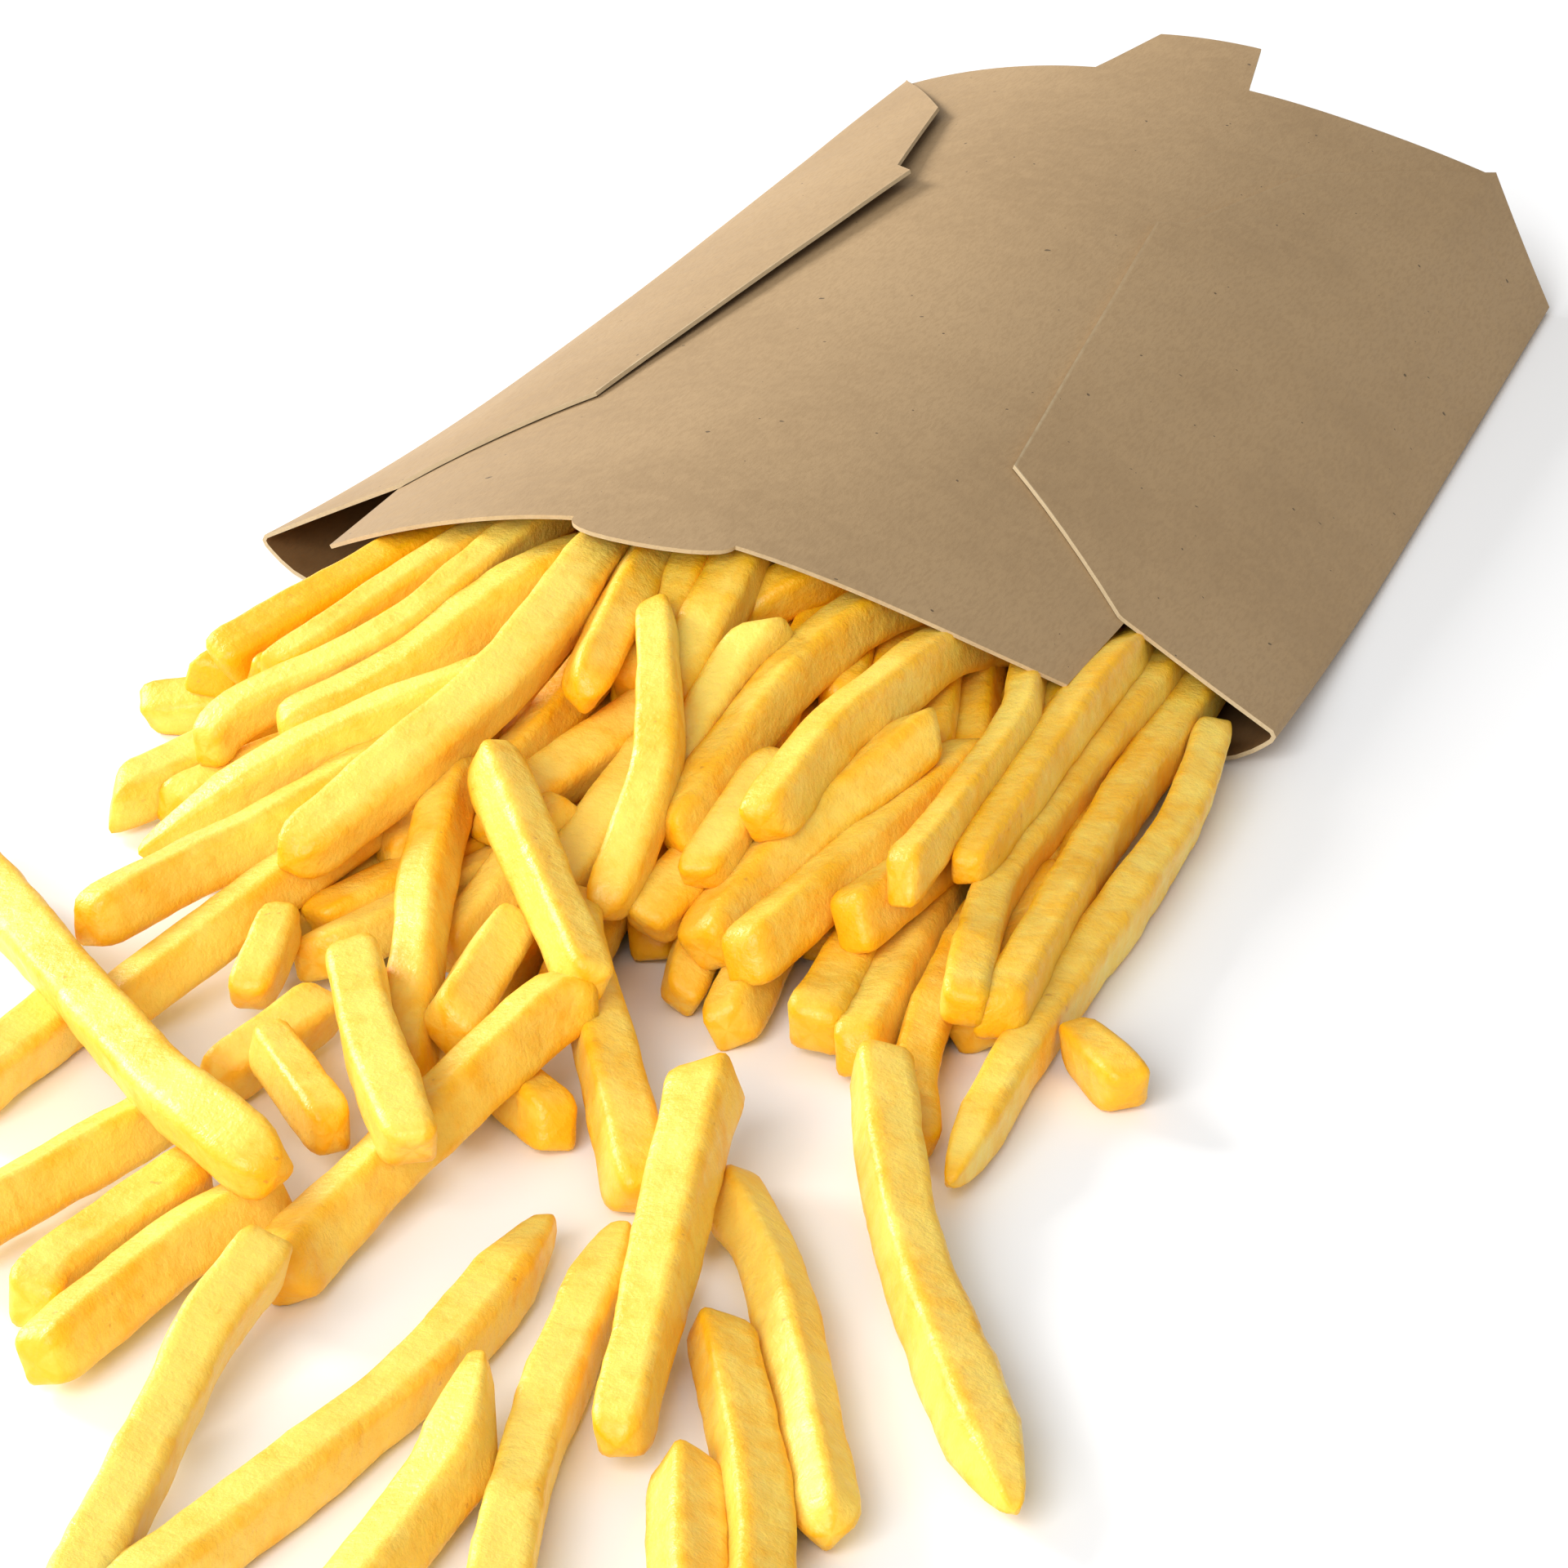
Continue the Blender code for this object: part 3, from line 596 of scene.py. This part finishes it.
def smooth_path(points, steps=24):
    """Points along a smooth curve through the given ones, evenly spaced."""
    points = np.array(points, float)
    ends = np.vstack((2 * points[0] - points[1], points, 2 * points[-1] - points[-2]))
    t = np.linspace(0, 1, steps, endpoint=False)[:, None]
    made = []
    for a, b, c, d in zip(ends, ends[1:], ends[2:], ends[3:]):
        cubic = -a + 3 * b - 3 * c + d
        square = 2 * a - 5 * b + 4 * c - d
        made.append(0.5 * (2 * b + (c - a) * t + square * t**2 + cubic * t**3))
    made.append(points[-1:])
    return np.vstack(made)


def path_at(path, distances):
    lengths = np.concatenate(([0], np.cumsum(np.linalg.norm(np.diff(path, axis=0), axis=1))))
    return np.column_stack([np.interp(distances, lengths, path[:, axis]) for axis in range(3)])


def path_length(path):
    return float(np.linalg.norm(np.diff(path, axis=0), axis=1).sum())


def fry_path(fry, rng):
    """A fry's middle line, with its part inside the carton where it comes out of the mouth."""
    points = list(np.array(fry.points) * MM)
    start = points[0]
    if start[1] > ROOTED and abs(start[0]) < SCORE_MOUTH + ROOT_SIDE:
        back = unit(start - points[1])
        root = start + back * (ROOT_REACH * rng.uniform(0.5, 1.3) - start[1]) / max(back[1], 0.5)
        half = fry.size * MM / 2
        roof = arch_z(abs(root[0]) + half, root[1]) - BOARD - half - ROOT_GAP
        root[2] = min(max(root[2], BOARD + half), roof)
        if root[1] > start[1] + ROOT_SHORTEST:
            points.insert(0, root)
    return smooth_path(points)


def fillers(rng):
    """Fries under the others: fans from the mouth in layers, each shorter and narrower than the one below."""
    rows = []
    for height, left, right, spread, reach, count in LAYERS:
        for i in range(count):
            share = 2 * i / (count - 1) - 1
            x = mix(left, right, (share + 1) / 2) + rng.uniform(-1, 1)
            far = x + share * spread + rng.uniform(-3, 3)
            out = reach * (1 - 0.22 * share * share) + rng.uniform(-7, 5)
            fall = min(height - 3.4, 4)
            points = ((x * 0.9, 12 + rng.uniform(-5, 5), height), (far, -out, height - fall))
            rows.append(Fry(points, rng.uniform(*FILLER_SIZE), rng.uniform(*FILLER_TONE), "bb"))
    return rows


def core_mesh():
    """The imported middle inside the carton, behind the fries that are made, with a lumpy surface."""
    bm = bmesh.new()
    rows = []
    for y in np.linspace(*CORE_REACH, CORE_ROWS) * MM:
        half = fold_x(y) - CORE_SIDE_GAP
        row = []
        for turn in np.linspace(0, 2 * math.pi, CORE_POINTS, endpoint=False):
            x = half * math.cos(turn)
            low = BOARD + CORE_GAP
            high = arch_z(x, y) - 2 * BOARD - CORE_GAP - CORE_GAP * noise.noise(Vector((x, y * 0.2, 0)) * 160)
            place = Vector((x, y, mix(low, high, 0.5 + 0.5 * math.sin(turn))))
            row.append(bm.verts.new(place))
        rows.append(row + row[:1])
    grid(bm, rows)
    bm.faces.new(rows[0][:-1])
    bm.faces.new(rows[-1][:-1])
    bmesh.ops.recalc_face_normals(bm, faces=bm.faces)
    obj = object_of(bm, "fry_core")
    mesh = obj.data
    for name, value in (("tone", 0.6), ("rim", 0), ("end", 0)):
        mesh.attributes.new(name, "FLOAT", "POINT").data.foreach_set("value", [value] * len(mesh.vertices))
    return obj


def lowest_and_highest(points, radii):
    """Where the table or the back panel holds each point up, and where the front panel holds it down."""
    x, y = points[..., 0], points[..., 1]
    on_board = (y > -BACK_BOW) & (np.abs(x) < MOUTH_HALF_WIDTH)
    low = radii[:, None] + TABLE_GAP + np.where(on_board, BOARD, 0)
    roof = np.full(x.shape, 1.0)
    for index in np.argwhere((y > -LIP - TONGUE) & (np.abs(x) < MOUTH_HALF_WIDTH)):
        px, py = x[tuple(index)], y[tuple(index)]
        if abs(px) < SCORE_MOUTH and py > lip_y(px) - LIP_MARGIN or py > 0:
            roof[tuple(index)] = arch_z(abs(px) + 0.9 * radii[index[0]], py) - 2 * BOARD
    high = roof - radii[:, None]
    return low, np.maximum(high, low)


def settle(points, radii, loose):
    """Moves whole fries apart until they touch, and down until something holds them.

    loose is 1 for a free fry. The others are held near their rows.
    """
    count, samples = points.shape[:2]
    home = points.mean(axis=1)
    turned = np.tile(np.eye(3), (count, 1, 1))
    first = points.copy()
    owner = np.repeat(np.arange(count), samples)
    for step in range(SETTLE_ROUNDS):
        flat = points.reshape(-1, 3)
        if step % SETTLE_LOOK == 0:
            gaps = flat[:, None, :].astype(np.float32) - flat[None].astype(np.float32)
            near = (gaps**2).sum(axis=2) < SETTLE_NEAR**2
            near &= owner[:, None] < owner[None]
            one, two = np.nonzero(near)
        gap = flat[one] - flat[two]
        distance = np.linalg.norm(gap, axis=1) + 1e-9
        depth = radii[owner[one]] + radii[owner[two]] - distance
        hit = depth > 0
        a, b = one[hit], two[hit]
        push = gap[hit] / distance[hit, None] * depth[hit, None] * SETTLE_PUSH
        share = (loose[owner[a]] / (loose[owner[a]] + loose[owner[b]]))[:, None]
        moved = flat.copy()
        np.add.at(moved, a, push * share)
        np.add.at(moved, b, -push * (1 - share))
        moved = moved.reshape(points.shape)
        moved[..., 2] -= (SETTLE_SINK * loose)[:, None]
        moved += (first - points) * (HOLD * (1 - loose))[:, None, None]
        low, high = lowest_and_highest(moved, radii)
        moved[..., 2] = np.clip(moved[..., 2], low, high)
        # whole fries: the turn and shift nearest to where their points want to go
        centre, goal = points.mean(axis=1, keepdims=True), moved.mean(axis=1, keepdims=True)
        spread = np.einsum("fsi,fsj->fij", points - centre, moved - goal) + 1e-4 * np.eye(3)
        left, _, right = np.linalg.svd(spread)
        flip = np.linalg.det(np.einsum("fij,fjk->fik", left, right))
        right[:, 2] *= np.sign(flip)[:, None]
        turn = np.einsum("fij,fjk->fki", left, right)
        points = np.einsum("fij,fsj->fsi", turn, points - centre) + goal
        turned = np.einsum("fij,fjk->fik", turn, turned)
    return home, turned, points


Layout = namedtuple("Layout", "fry path kind")


@functools.lru_cache(maxsize=1)
def layout():
    """Every fry at rest, as its row, its middle line and the group that it belongs to."""
    rng = np.random.default_rng(FRY_SEED)
    rows = [(fry, "heap") for fry in HEAP] + [(fry, "spilled") for fry in SPILLED]
    rows += [(fry, "packed") for fry in fillers(rng)]
    paths = [fry_path(fry, rng) for fry, _ in rows]
    shares = np.linspace(*SETTLE_SPAN, SETTLE_SAMPLES)
    samples = np.array([path_at(path, shares * path_length(path)) for path in paths])
    radii = np.array([fry.size * MM / 2 for fry, _ in rows])
    loose = np.array([1.0 if kind == "packed" else HELD for _, kind in rows])
    home, turned, settled = settle(samples, radii, loose)
    made = []
    depths = overlaps(settled, radii)
    for i, ((fry, kind), path) in enumerate(zip(rows, paths)):
        if kind == "packed" and depths[i] > DEEPEST:
            continue
        made.append(Layout(fry, (path - home[i]) @ turned[i].T + settled[i].mean(axis=0), kind))
    shown = [i for i, (_, kind) in enumerate(rows) if kind != "packed"]
    shift = np.linalg.norm(settled.mean(axis=1) - home, axis=1)[shown] / MM
    deepest = max(depths[shown]) / MM
    print(f"fries kept {len(made)} of {len(rows)}, overlap of shown ones up to {deepest:.1f} mm")
    print(f"they moved {shift.mean():.1f} mm, and {shift.max():.1f} mm at most")
    return made


def overlaps(points, radii):
    """How deep each fry's samples reach into another fry."""
    flat = points.reshape(-1, 3)
    owner = np.repeat(np.arange(len(points)), points.shape[1])
    distance = np.linalg.norm(flat[:, None] - flat[None], axis=2)
    depth = radii[owner][:, None] + radii[owner][None] - distance
    depth[owner[:, None] == owner[None]] = 0
    return depth.max(axis=1).reshape(len(points), -1).max(axis=1)


def fry_stations(fry, length, spacing):
    """Distances along a fry, with the share of its thickness and how near its cut end each one is."""
    first, last = ENDS[fry.ends[0]], ENDS[fry.ends[1]]
    begin, finish = first[-1][0] * MM, last[-1][0] * MM
    count = max(2, round((length - begin - finish) / spacing))
    inner = [mix(begin, length - finish, i / count) for i in range(1, count)]
    rows = [(d * MM, share) for d, share in first]
    rows += [(d, 1.0) for d in inner]
    rows += [(length - d * MM, share) for d, share in reversed(last)]
    return rows


def fry_lines(name, fries, spacing, seed):
    """The middle lines as loose edges, with what the sweep reads at each point."""
    rng = np.random.default_rng(seed)
    points, edges = [], []
    values = {key: [] for key in ("thickness", "turn", "flatness", "tone", "end", "seed")}
    slants = []
    for number, (fry, path, _) in enumerate(fries):
        length = path_length(path)
        stations = fry_stations(fry, length, spacing)
        distances = np.array([d for d, _ in stations])
        places = path_at(path, distances)
        half = fry.size * MM / 2
        swell = rng.uniform(0, 6.28, 2)
        turn = math.radians(rng.normal(0, FRY_TURN))
        flat = rng.uniform(*FLATNESS)
        taper = rng.uniform(-TAPER, TAPER)
        cuts = [unit(rng.normal(size=3)) * END_SLANT[kind] for kind in fry.ends]
        for i in range(len(stations)):
            if i:
                edges.append((len(points) - 1, len(points)))
            points.append(places[i])
            d = distances[i]
            wobble = 1 + 0.045 * math.sin(d / (11 * MM) + swell[0]) + 0.03 * math.sin(d / (5 * MM) + swell[1])
            wobble += taper * (2 * d / length - 1)
            values["thickness"].append(half * stations[i][1] * wobble)
            values["turn"].append(turn + math.radians(8) * math.sin(d / (40 * MM) + swell[1]))
            values["flatness"].append(flat)
            values["tone"].append(fry.tone)
            values["seed"].append(number * 0.37)
            near = [max(0, 1 - gap / min(END_REACH, 0.3 * length)) for gap in (d, length - d)]
            values["end"].append(max(near) ** 2.5)
            slants.append(cuts[0] * near[0] + cuts[1] * near[1])
    mesh = bpy.data.meshes.new(name)
    mesh.from_pydata(points, edges, [])
    for key, numbers in values.items():
        mesh.attributes.new(key, "FLOAT", "POINT").data.foreach_set("value", numbers)
    slant = mesh.attributes.new("slant", "FLOAT_VECTOR", "POINT")
    slant.data.foreach_set("vector", np.array(slants, np.float32).ravel())
    return linked(name, mesh)


def add_input(tree, name, kind, default=None):
    socket = tree.interface.new_socket(name, in_out="INPUT", socket_type=kind)
    if default is not None:
        socket.default_value = default
    return socket


def sweep_tree():
    """Geometry nodes: each middle line becomes a bar of cut potato."""
    group = bpy.data.node_groups.new("cut_potato", "GeometryNodeTree")
    add_input(group, "Geometry", "NodeSocketGeometry")
    add_input(group, "Section Points", "NodeSocketInt", 28)
    add_input(group, "Corner", "NodeSocketFloat", 0.55)
    add_input(group, "Relief", "NodeSocketFloat", 0.35 * MM)
    add_input(group, "Relief Scale", "NodeSocketFloat", 130)
    add_input(group, "Grit", "NodeSocketFloat", 0.12 * MM)
    add_input(group, "Grit Scale", "NodeSocketFloat", 480)
    add_input(group, "Material", "NodeSocketMaterial")
    group.interface.new_socket("Geometry", in_out="OUTPUT", socket_type="NodeSocketGeometry")
    tree = Tree(group)
    given = tree.add("NodeGroupInput").outputs

    def named(name, kind="FLOAT"):
        node = tree.add("GeometryNodeInputNamedAttribute", {"Name": name}, data_type=kind)
        return node.outputs["Attribute"]

    def captured(geometry, value, kind):
        node = tree.add("GeometryNodeCaptureAttribute", domain="POINT")
        node.capture_items.new(kind, "value")
        tree.feed(node.inputs["Geometry"], geometry)
        tree.feed(node.inputs[1], value)
        return node.outputs["Geometry"], node.outputs[1]

    line = tree.add("GeometryNodeMeshToCurve", {"Mesh": given["Geometry"]}).outputs["Curve"]
    line = tree.add("GeometryNodeSetCurveNormal", {"Curve": line}).outputs["Curve"]
    line = tree.add("GeometryNodeSetCurveTilt", {"Curve": line, "Tilt": named("turn")}).outputs["Curve"]
    place = tree.add("GeometryNodeInputPosition").outputs[0]
    line, spine = captured(line, place, "VECTOR")
    line, across = captured(line, tree.add("GeometryNodeInputNormal").outputs[0], "VECTOR")
    line, along = captured(line, tree.add("GeometryNodeInputTangent").outputs[0], "VECTOR")
    square = tree.add("GeometryNodeCurvePrimitiveQuadrilateral", {"Width": 2, "Height": 2}).outputs[0]
    rounded = tree.add(
        "GeometryNodeFilletCurve", {"Curve": square, "Radius": given["Corner"], "Count": 5}, mode="POLY"
    ).outputs[0]
    section = tree.add(
        "GeometryNodeResampleCurve", {"Curve": rounded, "Count": given["Section Points"]}
    ).outputs[0]
    sweep = tree.add("GeometryNodeCurveToMesh", {"Curve": line, "Profile Curve": section, "Fill Caps": True})
    if "Scale" in sweep.inputs:
        tree.feed(sweep.inputs["Scale"], named("thickness"))
    solid = sweep.outputs["Mesh"]

    offset = tree.vector("SUBTRACT", place, spine)
    beside = tree.vector("CROSS_PRODUCT", along, across)
    wide = tree.vector("DOT_PRODUCT", offset, across)
    tall = tree.vector("DOT_PRODUCT", offset, beside)
    corner = tree.math("ABSOLUTE", tree.math("MULTIPLY", wide, tall))
    full = tree.math("MULTIPLY", named("thickness"), named("thickness"))
    rim = tree.ramp(tree.math("DIVIDE", corner, tree.math("ADD", full, 1e-9)), 0.45, 0.8)
    solid = tree.add(
        "GeometryNodeStoreNamedAttribute",
        {"Geometry": solid, "Name": "rim", "Value": rim},
        data_type="FLOAT",
        domain="POINT",
    ).outputs["Geometry"]
    flat = tree.math("MULTIPLY", wide, tree.math("SUBTRACT", named("flatness"), 1.0))
    shift = tree.vector("SCALE", across, flat)
    cut = tree.vector("DOT_PRODUCT", offset, named("slant", "FLOAT_VECTOR"))
    shift = tree.vector("ADD", shift, tree.vector("SCALE", along, cut))
    solid = tree.add("GeometryNodeSetPosition", {"Geometry": solid, "Offset": shift}).outputs["Geometry"]

    normal = tree.add("GeometryNodeInputNormal").outputs[0]
    own = tree.vector("SCALE", (3.1, 1.7, 2.3), named("seed"))
    around = tree.vector("ADD", place, own)
    for amount, scale, detail in (("Relief", "Relief Scale", 1.0), ("Grit", "Grit Scale", 2.0)):
        texture = tree.add(
            "ShaderNodeTexNoise", {"Vector": around, "Scale": given[scale], "Detail": detail}
        ).outputs[0]
        height = tree.math("MULTIPLY", tree.math("SUBTRACT", texture, 0.5), given[amount])
        height = tree.math("MULTIPLY", height, 2.0)
        raised = tree.vector("SCALE", normal, height)
        solid = tree.add("GeometryNodeSetPosition", {"Geometry": solid, "Offset": raised}).outputs["Geometry"]
    solid = tree.add("GeometryNodeSetShadeSmooth", {"Geometry": solid}).outputs[0]
    solid = tree.add("GeometryNodeRealizeInstances", {"Geometry": solid}).outputs[0]
    solid = tree.add("GeometryNodeSetMaterial", {"Geometry": solid, "Material": given["Material"]}).outputs[0]
    tree.feed(tree.add("NodeGroupOutput").inputs["Geometry"], solid)
    return group


def sweep_fries(name, fries, spacing, section_points, seed):
    """A joined mesh of fries, made by the sweep."""
    settings = bpy.context.scene.fry_sizes
    obj = fry_lines(name, fries, spacing, seed)
    tree = bpy.data.node_groups.get("cut_potato") or sweep_tree()
    material = bpy.data.materials.get("fried_potato") or potato_material(settings)
    modifier = obj.modifiers.new("cut_potato", "NODES")
    modifier.node_group = tree
    values = {
        "Section Points": section_points,
        "Corner": settings.corner,
        "Relief": settings.relief,
        "Grit": settings.grit,
        "Material": material,
    }
    for item in tree.interface.items_tree:
        if item.in_out == "INPUT" and item.name in values:
            modifier[item.identifier] = values[item.name]
    baked(obj)
    if not obj.data.polygons:
        raise RuntimeError(f"{name}: the sweep made no faces")
    bm = bmesh.new()
    bm.from_mesh(obj.data)
    for vertex in bm.verts:
        vertex.co.z = max(vertex.co.z, ON_TABLE)
    bmesh.ops.recalc_face_normals(bm, faces=bm.faces)
    bm.to_mesh(obj.data)
    bm.free()
    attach(obj, "root")
    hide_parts("fries")
    print(f"{name}: {len(fries)} fries, {sum(len(p.vertices) - 2 for p in obj.data.polygons)} triangles")
    return obj


class CartonSizes(bpy.types.PropertyGroup):
    """The carton's finish."""

    kraft: FloatVectorProperty(
        name="Kraft",
        description="Colour of the unbleached board",
        subtype="COLOR",
        default=(0.41, 0.27, 0.133),
        min=0,
        max=1,
    )
    # paler than the kraft, partly as pale cut fibres and partly as a painted highlight on the cut edges
    cut: FloatVectorProperty(
        name="Cut edge",
        description="Colour of the board's cut edges",
        subtype="COLOR",
        default=(0.54, 0.42, 0.25),
        min=0,
        max=1,
    )
    # darker than the outer kraft: painted shade inside the carton
    inner: FloatVectorProperty(
        name="Inner face",
        description="Colour of the board inside the carton",
        subtype="COLOR",
        default=(0.20, 0.105, 0.035),
        min=0,
        max=1,
    )


class FrySizes(bpy.types.PropertyGroup):
    """The fries' section, relief and colours."""

    corner: FloatProperty(
        name="Corner radius",
        description="Rounding of a fry's long edges, as a share of half its thickness",
        default=0.34,
        min=0.1,
        max=1,
    )
    relief: FloatProperty(
        name="Relief",
        description="Height of the broad unevenness of a fry",
        unit="LENGTH",
        default=0.4 * MM,
        min=0,
        max=2 * MM,
    )
    grit: FloatProperty(
        name="Grit",
        description="Height of the fine unevenness of a fry",
        unit="LENGTH",
        default=0.12 * MM,
        min=0,
        max=1 * MM,
    )
    pale: FloatVectorProperty(
        name="Pale",
        description="Colour of the least fried potato",
        subtype="COLOR",
        default=(0.99, 0.70, 0.12),
        min=0,
        max=1,
    )
    golden: FloatVectorProperty(
        name="Golden",
        description="Colour of well fried potato",
        subtype="COLOR",
        default=(0.95, 0.46, 0.003),
        min=0,
        max=1,
    )
    brown: FloatVectorProperty(
        name="Brown",
        description="Colour of the small browned spots",
        subtype="COLOR",
        default=(0.50, 0.22, 0.04),
        min=0,
        max=1,
    )
    translucency: FloatProperty(
        name="Translucency",
        description="Share of the light that goes into the potato and comes out beside it",
        subtype="FACTOR",
        default=0.3,
        min=0,
        max=1,
    )


class StageSizes(bpy.types.PropertyGroup):
    """The table and the lights."""

    table: FloatVectorProperty(
        name="Table",
        description="Colour of the plain table",
        subtype="COLOR",
        default=(0.97, 0.97, 0.97),
        min=0,
        max=1,
    )
    key: FloatProperty(
        name="Key light",
        description="Power of the soft light from the left, in watts",
        default=12.5,
        min=0,
        max=1000,
    )
    ambient: FloatProperty(
        name="Ambient",
        description="Strength of the even light from all around",
        default=0.48,
        min=0,
        max=10,
    )


class FRYBOX_OT_carton(bpy.types.Operator):
    """Build the folded kraft carton"""

    bl_idname = "frybox.carton"
    bl_label = "Carton"

    def execute(self, context):
        settings = context.scene.carton_sizes
        obj = blank_sheet()
        obj.data.materials.append(kraft_material(settings, "kraft_board", tuple(settings.kraft)))
        # the rim faces: pale cut fibres with a painted highlight on the board's cut edges
        obj.data.materials.append(kraft_material(settings, "cut_board_and_highlight", tuple(settings.cut)))
        # the inner faces: kraft darkened as painted shade inside the carton
        obj.data.materials.append(kraft_material(settings, "inner_board_painted_shade", tuple(settings.inner)))
        solid = obj.modifiers.new("board", "SOLIDIFY")
        solid.thickness = BOARD
        solid.offset = -1
        solid.use_even_offset = True
        solid.use_quality_normals = True
        solid.material_offset = 2
        solid.material_offset_rim = 1
        baked(obj)
        obj.data.shade_smooth()
        obj.data.set_sharp_from_angle(angle=math.radians(32))
        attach(obj, "root")
        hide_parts("carton")
        return {"FINISHED"}


class FRYBOX_OT_fries(bpy.types.Operator):
    """Build the fries: those packed in the mouth, the heap in front of it and the spilled ones"""

    bl_idname = "frybox.fries"
    bl_label = "Fries"

    def execute(self, context):
        kinds = (("packed", 2.6 * MM, 24), ("heap", 1.6 * MM, 28), ("spilled", 1.2 * MM, 32))
        for seed, (kind, spacing, section_points) in enumerate(kinds, 1):
            fries = [item for item in layout() if item.kind == kind]
            sweep_fries(f"{kind}_fries", fries, spacing, section_points, seed)
        return {"FINISHED"}


class FRYBOX_OT_core(bpy.types.Operator):
    """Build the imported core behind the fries, inside the carton"""

    bl_idname = "frybox.core"
    bl_label = "Packed core"

    def execute(self, context):
        obj = core_mesh()
        settings = context.scene.fry_sizes
        obj.data.materials.append(bpy.data.materials.get("fried_potato") or potato_material(settings))
        obj.data.shade_smooth()
        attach(obj, "root")
        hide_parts("fries")
        return {"FINISHED"}


class FRYBOX_OT_stage(bpy.types.Operator):
    """Build the table, the lights and the camera"""

    bl_idname = "frybox.stage"
    bl_label = "Stage"

    def execute(self, context):
        settings = context.scene.stage_sizes
        bm = bmesh.new()
        bmesh.ops.create_grid(bm, x_segments=8, y_segments=8, size=6)
        table = object_of(bm, "table")
        tree = ShaderTree("plain_table")
        table.data.materials.append(tree.finish(Base_Color=(*settings.table, 1), Roughness=0.9))
        self.light("key_light", (-1.0, 0.15, 0.42), 0.4, settings.key)
        self.light("fill_light", (0.0, -1.2, 0.75), 0.9, settings.key * 1.4)
        world = bpy.data.worlds.new("room")
        world.use_nodes = True
        world.node_tree.nodes["Background"].inputs["Color"].default_value = (1, 1, 1, 1)
        world.node_tree.nodes["Background"].inputs["Strength"].default_value = settings.ambient
        context.scene.world = world
        context.scene.view_settings.view_transform = "Standard"
        camera = linked("camera", bpy.data.cameras.new("camera"))
        camera.data.lens = 140.625
        camera.data.sensor_width = 36
        camera.location = (0.26326, -0.59209, 0.32490)
        camera.rotation_euler = (math.radians(62.281), 0, math.radians(23.646))
        context.scene.camera = camera
        return {"FINISHED"}

    def light(self, name, place, size, power):
        data = bpy.data.lights.new(name, "AREA")
        data.shape = "SQUARE"
        data.size = size
        data.energy = power
        lamp = linked(name, data)
        lamp.location = place
        aim = Vector((0.02, 0, 0)) - Vector(place)
        lamp.rotation_euler = aim.to_track_quat("-Z", "Y").to_euler()


class FRYBOX_PT_panel(bpy.types.Panel):
    """Lists the pieces and their settings"""

    bl_idname = "FRYBOX_PT_panel"
    bl_label = "Fries in a Carton"
    bl_space_type = "VIEW_3D"
    bl_region_type = "UI"
    bl_category = "Fries"

    def draw(self, context):
        layout = self.layout
        for operator in OPERATORS:
            layout.operator(operator.bl_idname)
        for settings in (context.scene.carton_sizes, context.scene.fry_sizes, context.scene.stage_sizes):
            box = layout.box()
            for name in settings.__annotations__:
                box.prop(settings, name)


OPERATORS = (FRYBOX_OT_carton, FRYBOX_OT_fries, FRYBOX_OT_core, FRYBOX_OT_stage)
CLASSES = (CartonSizes, FrySizes, StageSizes, *OPERATORS, FRYBOX_PT_panel)


def register():
    for cls in CLASSES:
        bpy.utils.register_class(cls)
    bpy.types.Scene.carton_sizes = PointerProperty(type=CartonSizes)
    bpy.types.Scene.fry_sizes = PointerProperty(type=FrySizes)
    bpy.types.Scene.stage_sizes = PointerProperty(type=StageSizes)


def unregister():
    del bpy.types.Scene.stage_sizes
    del bpy.types.Scene.fry_sizes
    del bpy.types.Scene.carton_sizes
    for cls in reversed(CLASSES):
        bpy.utils.unregister_class(cls)


def main():
    register()
    bpy.ops.frybox.stage()
    bpy.ops.frybox.carton()
    bpy.ops.frybox.fries()
    bpy.ops.frybox.core()


if __name__ == "__main__":
    main()
